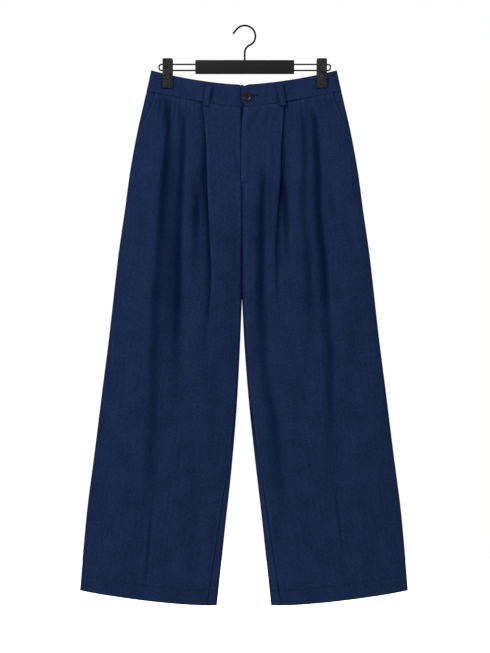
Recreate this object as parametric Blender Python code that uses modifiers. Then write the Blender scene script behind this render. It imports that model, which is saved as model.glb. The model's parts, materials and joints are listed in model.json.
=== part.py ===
"""Wide-leg trousers hanging by the waistband from a two-clip hanger.

Metres, +Z up, X to the viewer's right and Y away from the viewer, who sees the front.
The origin is the underside of the hook's arch, where the hook rests on a rail.
The garment's own sizes are in millimetres. A drop is a distance below the origin,
read at the centre line or at the inner edge of a leg.
"""

import math
from typing import NamedTuple

import bmesh
import bpy
from mathutils import Vector

MM = 0.001
FRONT = -1
BACK = 1
LEFT = -1
RIGHT = 1

# Cloth
CLOTH = 1.2
BAND_CLOTH = 2.4
HEM_CLOTH = 2.4
LOOP_CLOTH = 1.8
SEAM = 0.3
EDGE_GAP = 0.25
FOLDED_EDGE = 1.5

# Heights
WAIST_DROP = 117.0
SEAM_DROP = 162.0
POCKET_DROP = 243.0
FLY_DROP = 315.0
RISE_DROP = 330.0
CROTCH_DROP = 438.0
INSEAM_TURN_DROP = 667.0
HEM_DROP = 1157.0
HEM_DEPTH = 30.0

# The cloth hangs in a shallow smile: its outer edges sit higher than its centre
TOP_LIFT = 27.6
SEAM_LIFT = 31.5
HEM_LIFT = 30.0

GARMENT_SHIFT = -1.5
CENTRE_LEAN = -4.0
LEAN_START_DROP = 546.0
LEAN_END_DROP = 960.0
INSEAM_WRAP = 22.0
POCKET_OPENING = 18.5
POCKET_FOOT = 2.5

# A leg's section, as shares of its width: how far the cloth rounds off at each edge
OUTER_ROUND = 0.45
INNER_ROUND = 0.40
BAND_ROUND = 0.025
BAND_BLEND = 150.0
FOLD_ROOM = 0.45

# Waistband
PINCH_DEPTH = BAND_CLOTH + SEAM
PINCH_START = 140.0
WAIST_DEPTH = 10.0
FLAP_END = -3.0
UNDERLAP = 30.0
UNDERLAP_SINK = BAND_CLOTH + 0.5
UNDERLAP_LOWER = 2.0
NOTCH_X = 1.0
NOTCH_WIDTH = 9.0
NOTCH_DEPTH = 3.2
BACK_NOTCH_WIDTH = 15.3
BACK_NOTCH_DEPTH = 4.4
TOP_EDGE_ZONE = 22.0

# Pleats and fly
PLEAT_DEPTH = 4.5
PLEAT_STEP = 2.0
PLEAT_REACH = 38.0
PLEAT_FADE = 260.0
FLY_STEP = 0.9
FLY_WIDTH = 34.0
FLY_REACH = 16.0

# Belt loops
LOOP_WIDTH = 14.0
LOOP_TOP = 7.0
LOOP_BELOW_SEAM = 8.0
LOOP_STAND = 2.2
LOOP_LEAN = 6.7
LOOP_FLARE = 0.03

# Button
BUTTON_X = 5.8
BUTTON_DROP = 140.4
BUTTON_RADIUS = 9.2
BUTTON_THICK = 3.0
BUTTON_HOLE = 0.9
BUTTON_HOLE_SPREAD = 1.7

# Hanger
HOOK_WIRE = 3.7
HOOK_RADIUS = 21.4
HOOK_TIP = (-23.8, -14.8)
HOOK_TURN = ((14.6, -36.0), (10.5, -36.4))
HOOK_THROAT = (7.7, -38.6)
HOOK_NECK = ((3.6, -41.6), (0.0, -45.5))
HOOK_STEM = (0.0, -52.0)
BAR_TOP_DROP = 67.5
BAR_HEIGHT = 27.4
BAR_LENGTH = 197.8
BAR_DEPTH = 12.0
BORE_PLAY = 0.6
BORE_DEPTH = 15.0
RAIL_WIRE = 2.9
RAIL_DROPS = (75.8, 87.9)
RAIL_END = 171.1
RAIL_CORNER = 4.6
CLIP_X = 154.0
CLIP_WIDTH = 20.8
CLIP_TOP_DROP = 64.3
CLIP_BOTTOM_DROP = 123.0
CLIP_CORNER = 3.0
CLIP_FOOT_CORNER = 1.2
TRIM_LENGTH = 60.0
SLIDER_DEPTH = 6.6
SLIDER_WIDTH = 16.0
SLIDER_DROPS = (71.8, 92.2)


class Level(NamedTuple):
    """The outline of the trousers at one height."""

    drop: float
    half_width: float  # middle of the garment to its outer edge
    gap: float  # centre line to the inner edge of a leg
    depth: float  # middle plane to the cloth where it is fullest


OUTLINE = [
    Level(117, 185.5, SEAM / 2, 10.0),
    Level(162, 194.6, SEAM / 2, 10.0),
    Level(240, 212.5, SEAM / 2, 15.0),
    Level(320, 227.3, SEAM / 2, 20.0),
    Level(400, 238.3, SEAM / 2, 22.5),
    Level(480, 250.0, SEAM / 2, 23.0),
    Level(560, 259.4, 0.8, 22.5),
    Level(650, 269.5, 5.0, 21.5),
    Level(760, 283.5, 12.5, 20.5),
    Level(880, 298.5, 24.0, 20.0),
    Level(1000, 314.0, 37.5, 20.0),
    Level(1157, 328.0, 54.0, 21.0),
]


class PleatAt(NamedTuple):
    """Where the front pleat runs, as a share of the way from inner to outer edge."""

    drop: float
    share: float


PLEAT_LINE = [
    PleatAt(162, 0.424),
    PleatAt(315, 0.335),
    PleatAt(523, 0.258),
    PleatAt(700, 0.262),
    PleatAt(1157, 0.262),
]
PLEAT_END_DROP = {LEFT: 700.0, RIGHT: 600.0}


class Fold(NamedTuple):
    """A soft trough in the cloth, or a ridge where its depth is negative."""

    face: int
    top: float
    bottom: float
    x_top: float
    x_middle: float
    x_bottom: float
    depth: float
    reach: float


FOLDS = [
    Fold(FRONT, 132, 990, -162, -176, -188, 4.5, 11),
    Fold(FRONT, 142, 800, -131, -131, -143, 4.0, 10),
    Fold(FRONT, 150, 560, -104, -106, -112, -3.5, 15),
    Fold(FRONT, 232, 330, -29, -22, -15, 2.0, 7),
    Fold(FRONT, 840, 1157, -184, -192, -199, -3.0, 12),
    Fold(FRONT, 250, 1000, 42, 31, 84, 4.2, 11),
    Fold(FRONT, 300, 440, 76, 84, 88, 3.0, 9),
    Fold(FRONT, 170, 700, 117, 118, 129, 4.2, 11),
    Fold(FRONT, 150, 850, 136, 158, 174, 5.5, 11),
    Fold(FRONT, 170, 600, 128, 136, 148, -3.0, 8),
    Fold(FRONT, 330, 430, 179, 179, 181, 2.6, 9),
    Fold(FRONT, 860, 1157, 172, 190, 207, -3.0, 12),
    Fold(BACK, 140, 940, -152, -166, -184, 4.5, 14),
    Fold(BACK, 200, 700, -96, -84, -92, 4.0, 15),
    Fold(BACK, 420, 1080, -118, -128, -150, 3.0, 15),
    Fold(BACK, 330, 560, -34, -46, -60, 3.0, 13),
    Fold(BACK, 820, 1157, -184, -192, -199, -3.0, 14),
    Fold(BACK, 140, 900, 150, 164, 180, 5.0, 14),
    Fold(BACK, 210, 760, 92, 78, 88, 4.0, 15),
    Fold(BACK, 400, 1040, 112, 122, 140, 3.2, 15),
    Fold(BACK, 340, 590, 38, 48, 66, 2.8, 13),
    Fold(BACK, 860, 1157, 172, 190, 207, -3.0, 14),
]


class Loop(NamedTuple):
    """A belt loop and the distance of its top from the centre line."""

    name: str
    side: int
    face: int
    distance: float


LOOPS = [
    Loop("front_left", LEFT, FRONT, 66),
    Loop("front_right", RIGHT, FRONT, 75),
    Loop("back_left", LEFT, BACK, 88),
    Loop("back_middle", RIGHT, BACK, 1.5),
    Loop("back_right", RIGHT, BACK, 96),
]


class JawAt(NamedTuple):
    """A clip jaw's two faces at one height, from the hanger's middle plane."""

    drop: float
    inner: float
    outer: float


JAW_GRIP = PINCH_DEPTH + SEAM
JAW_SHOULDER = SLIDER_DEPTH / 2 + SEAM

JAW = [
    JawAt(CLIP_BOTTOM_DROP, JAW_GRIP, 4.5),
    JawAt(CLIP_BOTTOM_DROP - 2, JAW_GRIP, 5.2),
    JawAt(97.5, JAW_GRIP, 5.8),
    JawAt(93.5, JAW_SHOULDER, 6.2),
    JawAt(73.5, JAW_SHOULDER, 6.3),
    JawAt(CLIP_TOP_DROP, 6.6, 8.9),
]


def clamp(value, low=0.0, high=1.0):
    return max(low, min(high, value))


def ease(value):
    """0 to 1 with a soft start and a soft end."""
    t = clamp(value)
    return t * t * (3 - 2 * t)


def slope_at(table, column, index):
    """The slope of a table's column at one row, from the rows on both sides."""
    before = table[max(index - 1, 0)]
    after = table[min(index + 1, len(table) - 1)]
    rise = getattr(after, column) - getattr(before, column)
    return rise / (after.drop - before.drop)


def read(table, column, drop):
    """A smooth curve through one column of a table whose rows are in order of drop."""
    drop = clamp(drop, table[0].drop, table[-1].drop)
    index = max(i for i in range(len(table) - 1) if table[i].drop <= drop)
    low, high = table[index], table[index + 1]
    span = high.drop - low.drop
    t = (drop - low.drop) / span
    start, end = getattr(low, column), getattr(high, column)
    start_slope = slope_at(table, column, index) * span
    end_slope = slope_at(table, column, index + 1) * span
    return (
        (2 * t**3 - 3 * t**2 + 1) * start
        + (t**3 - 2 * t**2 + t) * start_slope
        + (3 * t**2 - 2 * t**3) * end
        + (t**3 - t**2) * end_slope
    )


def centre_line(drop):
    """The centre seam stands a little to the left, and the legs part evenly below it."""
    return CENTRE_LEAN * (1 - ease((drop - LEAN_START_DROP) / (LEAN_END_DROP - LEAN_START_DROP)))


def lift(drop, share):
    """How much higher the cloth sits at a share of the way to its outer edge."""
    if drop < SEAM_DROP:
        t = (drop - WAIST_DROP) / (SEAM_DROP - WAIST_DROP)
        height = TOP_LIFT + t * (SEAM_LIFT - TOP_LIFT)
        power = 1.6 - 0.3 * t
    else:
        t = (drop - SEAM_DROP) / (HEM_DROP - SEAM_DROP)
        height = SEAM_LIFT + t * (HEM_LIFT - SEAM_LIFT)
        power = 1.3 + 0.3 * t
    return height * abs(share) ** power


def leg_width(side, drop):
    """Inner edge to outer edge of one half of the garment."""
    inner = side * centre_line(drop) + read(OUTLINE, "gap", drop)
    return read(OUTLINE, "half_width", drop) - inner


def half_girth(side, drop):
    """The front half of a leg's section, with half of the folded edge at each end."""
    return leg_width(side, drop) + 2 * FOLDED_EDGE


def band_depth(x):
    """The waistband's outer face: flat where the clips press it, open at the middle."""
    open_share = max(0.0, 1 - (x / PINCH_START) ** 2)
    return PINCH_DEPTH + (WAIST_DEPTH - PINCH_DEPTH) * open_share**1.5


def fullness(side, drop, share):
    """Middle plane to the cloth, before its folds."""
    depth = read(OUTLINE, "depth", drop) - FOLDED_EDGE
    outer = clamp((share - 1 + OUTER_ROUND) / OUTER_ROUND)
    inner = clamp((INNER_ROUND - share) / INNER_ROUND)
    rise = clamp((drop - RISE_DROP) / (CROTCH_DROP - RISE_DROP))
    body = depth * math.sqrt(1 - outer**2) * math.sqrt(1 - (rise * inner) ** 2)
    x = side * leg_width(side, drop) * share
    edge = clamp((share - 1 + BAND_ROUND) / BAND_ROUND)
    band = (band_depth(x) - FOLDED_EDGE) * math.sqrt(1 - edge**2)
    mix = ease((drop - SEAM_DROP) / BAND_BLEND)
    return FOLDED_EDGE + band + mix * (body - band)


def fold_depth(face, x, drop):
    """The sum of the soft troughs and ridges at one place."""
    total = 0.0
    for fold in FOLDS:
        t = (drop - fold.top) / (fold.bottom - fold.top)
        if fold.face != face or not 0 <= t <= 1:
            continue
        bend = 4 * t * (1 - t)
        straight = fold.x_top + t * (fold.x_bottom - fold.x_top)
        middle = (fold.x_top + fold.x_bottom) / 2
        centre = straight + bend * (fold.x_middle - middle)
        open_end = fold.bottom >= HEM_DROP
        fade = ease(t / 0.15) * (1.0 if open_end else ease((1 - t) / 0.35))
        total += fold.depth * fade * math.exp(-(((x - centre) / fold.reach) ** 2))
    return total


def pleat_depth(side, drop, distance):
    """The step outside the pleat's edge, which the panel's middle overlaps."""
    if distance <= PLEAT_STEP / 2:
        return 0.0
    fade = ease((PLEAT_END_DROP[side] - drop) / PLEAT_FADE)
    return PLEAT_DEPTH * fade * math.exp(-distance / PLEAT_REACH)


def fly_step(side, drop, distance):
    """The right front lies over the left front down to the foot of the fly."""
    fade = ease((FLY_DROP - drop) / 30)
    if side == RIGHT:
        return -FLY_STEP * fade * ease((FLY_WIDTH - distance) / 6)
    return FLY_STEP * fade * math.exp(-((distance / FLY_REACH) ** 2))


def leg_point(side, face, drop, along):
    """A point of the leg's outer face.

    along is the way round the section from the middle of the inner edge, positive over
    the front and negative over the back. Each end of the way is a narrow folded edge.
    """
    surface = FRONT if along > 0 else BACK
    way = abs(along)
    width = leg_width(side, drop)
    distance = clamp(way - FOLDED_EDGE, 0, width)
    share = distance / width
    inner_x = centre_line(drop) + side * read(OUTLINE, "gap", drop)
    x = inner_x + side * distance
    height = -drop + lift(drop, share)
    depth = fullness(side, drop, share)
    hollow = fold_depth(surface, x, -height)
    if surface == FRONT:
        pleat_at = read(PLEAT_LINE, "share", drop) * width
        hollow += pleat_depth(side, drop, distance - pleat_at)
        hollow += fly_step(side, drop, distance)
    room = FOLD_ROOM * (depth - FOLDED_EDGE)
    depth -= min(hollow, room)
    if way < FOLDED_EDGE:
        depth -= FOLDED_EDGE - way
    elif way > FOLDED_EDGE + width:
        depth -= way - FOLDED_EDGE - width
    return Vector((x + GARMENT_SHIFT, surface * depth, height)) * MM


def row_drops():
    """The heights of a panel's rows, closer together at the pocket, crotch and hem."""
    top = evenly(SEAM_DROP + SEAM, POCKET_DROP, 4)
    hip = evenly(POCKET_DROP + 1, RISE_DROP, 3)[:-1]
    rise = CROTCH_DROP - RISE_DROP
    crotch = [RISE_DROP + rise * math.sin(math.radians(turn)) for turn in evenly(0, 90, 5)]
    stitch_line = HEM_DROP - HEM_DEPTH
    leg = evenly(CROTCH_DROP, stitch_line, 11)[1:]
    return top + hip + crotch + leg + [stitch_line + 1, HEM_DROP - 12, HEM_DROP]


def evenly(start, stop, count):
    """Both ends and count - 1 places between them."""
    return [start + (stop - start) * i / count for i in range(count + 1)]


def from_edge(start, stop, count):
    """Places that start close together at a folded edge and then run evenly."""
    direction = 1 if stop > start else -1
    near = [start + direction * step for step in (0.0, FOLDED_EDGE - EDGE_GAP, 5.0, 12.0)]
    return near[:-1] + evenly(near[-1], stop, count)


def seam_way(drop):
    """How far the inseam has turned onto the front."""
    t = (drop - INSEAM_TURN_DROP) / (HEM_DROP - INSEAM_TURN_DROP)
    return INSEAM_WRAP * clamp(t)


def pocket_way(drop):
    """How far the pocket opening stands in from the side seam."""
    if drop > POCKET_DROP + 0.5:
        return 0.0
    t = (drop - SEAM_DROP) / (POCKET_DROP - SEAM_DROP)
    return POCKET_OPENING - (POCKET_OPENING - POCKET_FOOT) * t**2


def front_row(side, drop):
    """The points of a front panel's row, from the inseam or centre to the side seam."""
    start = seam_way(drop) + EDGE_GAP
    stop = half_girth(side, drop) - EDGE_GAP - pocket_way(drop)
    pleat_at = read(PLEAT_LINE, "share", drop) * leg_width(side, drop) + FOLDED_EDGE
    inner = from_edge(start, pleat_at, 5)
    outer = from_edge(stop, pleat_at + PLEAT_STEP, 12)[::-1]
    return [leg_point(side, FRONT, drop, along) for along in inner + outer]


def back_row(side, drop):
    """The points of a back panel's row, from the side seam to the inseam or centre.

    Below the knee the row goes on round the inner edge to the inseam on the front.
    """
    outer_seam = -half_girth(side, drop) + EDGE_GAP
    corner = -FOLDED_EDGE
    across = from_edge(outer_seam, corner - 16, 11)
    wrap = seam_way(drop) - EDGE_GAP - corner
    turned = clamp(seam_way(drop) / 6)
    flat_places = (-12.0, -8.0, -5.0, -2.2, 0.0)
    turned_places = (-8.0, -3.0, 0.0, 0.13 * wrap, 0.48 * wrap)
    near = [
        corner + flat + turned * (round_edge - flat)
        for flat, round_edge in zip(flat_places, turned_places)
    ]
    places = across + near + [corner + wrap]
    return [leg_point(side, BACK, drop, along) for along in places]


def facing_row(side, drop):
    """The points of a pocket facing's row, between the pocket opening and the side seam."""
    stop = half_girth(side, drop)
    start = stop - EDGE_GAP - pocket_way(drop) + SEAM
    places = evenly(start, stop - FOLDED_EDGE, 3) + [stop - EDGE_GAP]
    return [leg_point(side, FRONT, drop, along) for along in places]


def notch(x, centre, width, depth):
    """A small rounded dip in the waistband's top edge."""
    t = clamp(abs(x - centre) / (width / 2))
    return depth * (1 - ease(t))


def top_zone(drop):
    """1 at the waistband's top edge and 0 below the cloth that the edge's dips reach."""
    return ease((WAIST_DROP + TOP_EDGE_ZONE - drop) / TOP_EDGE_ZONE)


def band_point(side, face, drop, way, sink=0.0):
    """A point of the waistband, way being measured from the centre line outwards."""
    half = read(OUTLINE, "half_width", drop)
    reach = half - side * CENTRE_LEAN
    distance = min(way, reach)
    x = CENTRE_LEAN + side * distance
    share = distance / reach
    depth = band_depth(x) - sink - max(0.0, way - reach)
    if face == FRONT:
        dip = notch(x, NOTCH_X, NOTCH_WIDTH, NOTCH_DEPTH)
    else:
        dip = notch(x, NOTCH_X, BACK_NOTCH_WIDTH, BACK_NOTCH_DEPTH)
    height = -drop + lift(drop, share) - dip * top_zone(drop)
    return Vector((x + GARMENT_SHIFT, face * depth, height)) * MM


def band_ways(side, drop, start, count):
    """Places along a waistband's row, ending round the folded side edge."""
    reach = read(OUTLINE, "half_width", drop) - side * CENTRE_LEAN
    return evenly(start, reach, count) + [reach + PINCH_DEPTH - EDGE_GAP]


def band_drops():
    return evenly(WAIST_DROP, SEAM_DROP, 4)


def right_band_row(drop):
    ways = [FLAP_END, 0.0, 5.0, 10.0] + band_ways(RIGHT, drop, 22.0, 10)
    return [band_point(RIGHT, FRONT, drop, way) for way in ways]


def left_band_row(drop):
    """The left end passes under the right one, so it sinks towards the centre."""
    points = []
    for way in [-UNDERLAP, -15.0, 0.0] + band_ways(LEFT, drop, 12.0, 10):
        sink = UNDERLAP_SINK * ease((28 - way) / 22)
        point = band_point(LEFT, FRONT, drop, way, sink)
        point.z -= UNDERLAP_LOWER * ease((6 - way) / 6) * top_zone(drop) * MM
        points.append(point)
    return points


def back_band_row(drop):
    left = [band_point(LEFT, BACK, drop, way) for way in band_ways(LEFT, drop, 6.0, 9)]
    right = [band_point(RIGHT, BACK, drop, way) for way in band_ways(RIGHT, drop, 6.0, 9)]
    middle = [band_point(RIGHT, BACK, drop, way) for way in (-3.0, 1.0, 3.0)]
    return left[::-1] + middle + right


def loop_row(loop, share):
    """The points across a belt loop, moved out from the waistband and the panel."""
    drop_top = WAIST_DROP + LOOP_TOP
    drop = drop_top + share * (SEAM_DROP + LOOP_BELOW_SEAM - drop_top)
    middle = loop.distance + share * LOOP_LEAN
    stand = SEAM + LOOP_STAND * math.sin(math.pi * clamp(share)) ** 0.7
    points = []
    for offset in (-0.5, 0.0, 0.5):
        way = middle + offset * LOOP_WIDTH
        below = max(0.0, drop - SEAM_DROP)
        point = band_point(loop.side, loop.face, drop - below, way)
        point.z -= below * MM
        point.y += loop.face * (stand + LOOP_CLOTH + LOOP_FLARE * below) * MM
        points.append(point)
    return points


def make_collection(name):
    collection = bpy.data.collections.new(name)
    bpy.context.scene.collection.children.link(collection)
    return collection


def make_material(name, colour, roughness, metallic=0.0):
    material = bpy.data.materials.new(name)
    material.use_nodes = True
    shader = material.node_tree.nodes["Principled BSDF"]
    shader.inputs["Base Color"].default_value = (*colour, 1.0)
    shader.inputs["Roughness"].default_value = roughness
    shader.inputs["Metallic"].default_value = metallic
    material.diffuse_color = (*colour, 1.0)
    return material


def link_mesh(name, mesh, collection, material=None):
    item = bpy.data.objects.new(name, mesh)
    collection.objects.link(item)
    if material:
        mesh.materials.append(material)
    return item


def make_sheet(name, rows, outward, thickness, hem_rows=0):
    """A grid whose vertices are moved to the rows' points, made a wall on its inner side.

    With hem_rows, those last rows are that thick and the others are a single cloth.
    """
    across, down = len(rows[0]), len(rows)
    grid = bmesh.new()
    bmesh.ops.create_grid(grid, x_segments=across - 1, y_segments=down - 1, size=0.5)
    hem = []
    for vertex in grid.verts:
        column = round((vertex.co.x + 0.5) * (across - 1))
        row = round((0.5 - vertex.co.y) * (down - 1))
        vertex.co = rows[row][column]
        if row >= down - hem_rows:
            hem.append(vertex.index)
    grid.normal_update()
    facing = sum((face.normal * face.calc_area() for face in grid.faces), Vector())
    if facing.dot(Vector(outward)) < 0:
        bmesh.ops.reverse_faces(grid, faces=grid.faces)
    mesh = bpy.data.meshes.new(name)
    grid.to_mesh(mesh)
    grid.free()
    mesh.shade_smooth()
    mesh.set_sharp_from_angle(angle=math.radians(50))
    item = link_mesh(name, mesh, PARTS, CLOTH_NAVY)
    wall = item.modifiers.new("wall", "SOLIDIFY")
    wall.thickness = thickness * MM
    wall.offset = -1
    wall.use_even_offset = True
    wall.use_quality_normals = True
    if hem_rows:
        turned_up = item.vertex_groups.new(name="hem")
        turned_up.add(hem, 1.0, "REPLACE")
        wall.vertex_group = turned_up.name
        wall.thickness_vertex_group = CLOTH / thickness
    return item


def make_panels():
    for side, word in ((LEFT, "left"), (RIGHT, "right")):
        front = [front_row(side, drop) for drop in row_drops()]
        back = [back_row(side, drop) for drop in row_drops()]
        facing = [facing_row(side, drop) for drop in row_drops() if drop <= POCKET_DROP + 0.1]
        make_sheet(f"front_{word}", front, (0, FRONT, 0), HEM_CLOTH, hem_rows=3)
        make_sheet(f"back_{word}", back, (0, BACK, 0), HEM_CLOTH, hem_rows=3)
        make_sheet(f"pocket_facing_{word}", facing, (0, FRONT, 0), CLOTH)


def make_waistband():
    right = [right_band_row(drop) for drop in band_drops()]
    left = [left_band_row(drop) for drop in band_drops()]
    back = [back_band_row(drop) for drop in band_drops()]
    make_sheet("waistband_front_right", right, (0, FRONT, 0), BAND_CLOTH)
    make_sheet("waistband_front_left", left, (0, FRONT, 0), BAND_CLOTH)
    make_sheet("waistband_back", back, (0, BACK, 0), BAND_CLOTH)


def make_belt_loops():
    for loop in LOOPS:
        rows = [loop_row(loop, share) for share in evenly(0.0, 1.0, 10)]
        make_sheet(f"belt_loop_{loop.name}", rows, (0, loop.face, 0), LOOP_CLOTH)


def mesh_from_curve(item):
    """A curve object's shape as a mesh object, with its loose caps welded on."""
    bpy.context.view_layer.update()
    graph = bpy.context.evaluated_depsgraph_get()
    mesh = bpy.data.meshes.new_from_object(item.evaluated_get(graph))
    solid = bmesh.new()
    solid.from_mesh(mesh)
    bmesh.ops.remove_doubles(solid, verts=solid.verts, dist=0.00001)
    solid.to_mesh(mesh)
    solid.free()
    name, matrix, collection = item.name, item.matrix_world.copy(), item.users_collection[0]
    bpy.data.objects.remove(item)
    made = bpy.data.objects.new(name, mesh)
    made.matrix_world = matrix
    collection.objects.link(made)
    return made


def make_wire(name, points, diameter, material):
    """A round wire through points in the plane of the hanger."""
    curve = bpy.data.curves.new(name, "CURVE")
    curve.dimensions = "3D"
    curve.bevel_depth = diameter / 2 * MM
    curve.bevel_resolution = 2
    curve.use_fill_caps = True
    spline = curve.splines.new("POLY")
    spline.points.add(len(points) - 1)
    for target, (x, z) in zip(spline.points, points):
        target.co = (x * MM, 0.0, z * MM, 1.0)
    curve.materials.append(material)
    item = bpy.data.objects.new(name, curve)
    PARTS.objects.link(item)
    return item


def arc(centre, radius, start_deg, end_deg, count):
    """Points round an arc in the plane of the hanger."""
    angles = [math.radians(angle) for angle in evenly(start_deg, end_deg, count)]
    return [(centre[0] + radius * math.cos(a), centre[1] + radius * math.sin(a)) for a in angles]


def bezier(start, first, second, end, count):
    """Points along a cubic curve, without its start."""
    points = []
    for t in evenly(0.0, 1.0, count)[1:]:
        weights = ((1 - t) ** 3, 3 * t * (1 - t) ** 2, 3 * t**2 * (1 - t), t**3)
        corners = (start, first, second, end)
        x = sum(weight * corner[0] for weight, corner in zip(weights, corners))
        z = sum(weight * corner[1] for weight, corner in zip(weights, corners))
        points.append((x, z))
    return points


def make_hook():
    centre = (0.0, HOOK_WIRE / 2 - HOOK_RADIUS)
    arch = arc(centre, HOOK_RADIUS, 148, -30, 15)
    bar_top = -BAR_TOP_DROP
    throat = bezier(arch[-1], *HOOK_TURN, HOOK_THROAT, 3)
    neck = bezier(HOOK_THROAT, *HOOK_NECK, HOOK_STEM, 6)
    stem_foot = (0.0, bar_top - BORE_DEPTH + SEAM)
    route = [HOOK_TIP] + arch + throat + neck + [(0.0, bar_top), stem_foot]
    make_wire("hanger_hook", route, HOOK_WIRE, HANGER_WIRE)


def rail_route(side):
    """One bent wire: out along the top, round the end and back along the bottom."""
    upper, lower = -RAIL_DROPS[0], -RAIL_DROPS[1]
    foot = BAR_LENGTH / 2 - BORE_DEPTH + SEAM
    turn = RAIL_END - RAIL_CORNER
    top_turn = arc((turn, upper - RAIL_CORNER), RAIL_CORNER, 90, 0, 4)
    low_turn = arc((turn, lower + RAIL_CORNER), RAIL_CORNER, 0, -90, 4)
    route = [(foot, upper)] + top_turn + low_turn + [(foot, lower)]
    return [(side * x, z) for x, z in route]


def make_rails():
    make_wire("rail_left", rail_route(LEFT), RAIL_WIRE, HANGER_WIRE)
    make_wire("rail_right", rail_route(RIGHT), RAIL_WIRE, HANGER_WIRE)


def make_box(name, centre, size, material, bevel):
    """A box with its corners rounded by a bevel, all in millimetres."""
    solid = bmesh.new()
    bmesh.ops.create_cube(solid, size=1.0)
    bmesh.ops.scale(solid, vec=Vector(size) * MM, verts=solid.verts)
    mesh = bpy.data.meshes.new(name)
    solid.to_mesh(mesh)
    solid.free()
    item = link_mesh(name, mesh, PARTS, material)
    item.location = Vector(centre) * MM
    rounded = item.modifiers.new("rounded", "BEVEL")
    rounded.width = bevel * MM
    rounded.segments = 2
    rounded.limit_method = "ANGLE"
    return item


def cut_bore(target, name, centre, axis, radius, length):
    """A round bore, cut by a cylinder that stays in the file as a guide."""
    solid = bmesh.new()
    bmesh.ops.create_cone(
        solid,
        cap_ends=True,
        segments=16,
        radius1=radius * MM,
        radius2=radius * MM,
        depth=length * MM,
    )
    mesh = bpy.data.meshes.new(name)
    solid.to_mesh(mesh)
    solid.free()
    cutter = link_mesh(name, mesh, CUTTERS)
    cutter.location = Vector(centre) * MM
    cutter.rotation_euler = Vector(axis).to_track_quat("Z", "Y").to_euler()
    cutter.hide_render = True
    cutter.display_type = "WIRE"
    cut = target.modifiers.new(name, "BOOLEAN")
    cut.operation = "DIFFERENCE"
    cut.object = cutter


def make_bar():
    middle = -(BAR_TOP_DROP + BAR_HEIGHT / 2)
    size = (BAR_LENGTH, BAR_DEPTH, BAR_HEIGHT)
    bar = make_box("hanger_bar", (0, 0, middle), size, HANGER_PLASTIC, 1.4)
    hook_radius = (HOOK_WIRE + BORE_PLAY) / 2
    cut_bore(bar, "hook_bore", (0, 0, -BAR_TOP_DROP), (0, 0, 1), hook_radius, 2 * BORE_DEPTH)
    rail_radius = (RAIL_WIRE + BORE_PLAY) / 2
    for side, word in ((LEFT, "left"), (RIGHT, "right")):
        for drop, level in zip(RAIL_DROPS, ("upper", "lower")):
            mouth = (side * BAR_LENGTH / 2, 0, -drop)
            name = f"rail_bore_{word}_{level}"
            cut_bore(bar, name, mouth, (1, 0, 0), rail_radius, 2 * BORE_DEPTH)


def rounded_outline(half_width, top, bottom, top_corner, foot_corner):
    """The outline of a clip jaw, seen from the front."""
    upper, lower = half_width - top_corner, half_width - foot_corner
    points = arc((upper, top - top_corner), top_corner, 0, 90, 4)
    points += arc((-upper, top - top_corner), top_corner, 90, 180, 4)
    points += arc((-lower, bottom + foot_corner), foot_corner, 180, 270, 2)
    points += arc((lower, bottom + foot_corner), foot_corner, 270, 360, 2)
    return points


def make_plate(name, outline, thickness, collection):
    """A flat outline in the XY plane, given a thickness either way along Z."""
    curve = bpy.data.curves.new(name, "CURVE")
    curve.dimensions = "2D"
    curve.fill_mode = "BOTH"
    curve.extrude = thickness / 2 * MM
    spline = curve.splines.new("POLY")
    spline.points.add(len(outline) - 1)
    for target, (x, y) in zip(spline.points, outline):
        target.co = (x * MM, y * MM, 0.0, 1.0)
    spline.use_cyclic_u = True
    item = bpy.data.objects.new(name, curve)
    collection.objects.link(item)
    return item


def jaw_profile():
    """A jaw seen from the side, as its inner faces from the foot up and its outer ones down."""
    inner = [(place.inner, -place.drop) for place in JAW]
    outer = [(place.outer, -place.drop) for place in reversed(JAW)]
    return inner + outer


def make_clip(side, word):
    centre_x = side * CLIP_X
    for face, place in ((FRONT, "front"), (BACK, "back")):
        outline = jaw_profile() if face == BACK else [(-y, z) for y, z in jaw_profile()]
        jaw = make_plate(f"clip_{word}_jaw_{place}", outline, CLIP_WIDTH, PARTS)
        jaw.rotation_euler = (math.radians(90), 0, math.radians(90))
        jaw.location = (centre_x * MM, 0, 0)
        jaw = mesh_from_curve(jaw)
        jaw.data.materials.append(CLIP_PLASTIC)
        ends = (-CLIP_TOP_DROP, -CLIP_BOTTOM_DROP)
        shape = rounded_outline(CLIP_WIDTH / 2, *ends, CLIP_CORNER, CLIP_FOOT_CORNER)
        trim = make_plate(f"clip_{word}_outline_{place}", shape, TRIM_LENGTH, CUTTERS)
        trim.rotation_euler = (math.radians(90), 0, 0)
        trim.location = (centre_x * MM, 0, 0)
        trim = mesh_from_curve(trim)
        trim.hide_render = True
        trim.display_type = "WIRE"
        corners = jaw.modifiers.new("rounded_corners", "BOOLEAN")
        corners.operation = "INTERSECT"
        corners.object = trim
    low, high = -SLIDER_DROPS[1], -SLIDER_DROPS[0]
    size = (SLIDER_WIDTH, SLIDER_DEPTH, high - low)
    middle = (centre_x, 0, (low + high) / 2)
    slider = make_box(f"clip_{word}_slider", middle, size, CLIP_PLASTIC, 0.6)
    for drop, level in zip(RAIL_DROPS, ("upper", "lower")):
        name = f"slider_bore_{word}_{level}"
        radius = (RAIL_WIRE + BORE_PLAY) / 2
        cut_bore(slider, name, (centre_x, 0, -drop), (1, 0, 0), radius, 2 * SLIDER_WIDTH)


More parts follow.
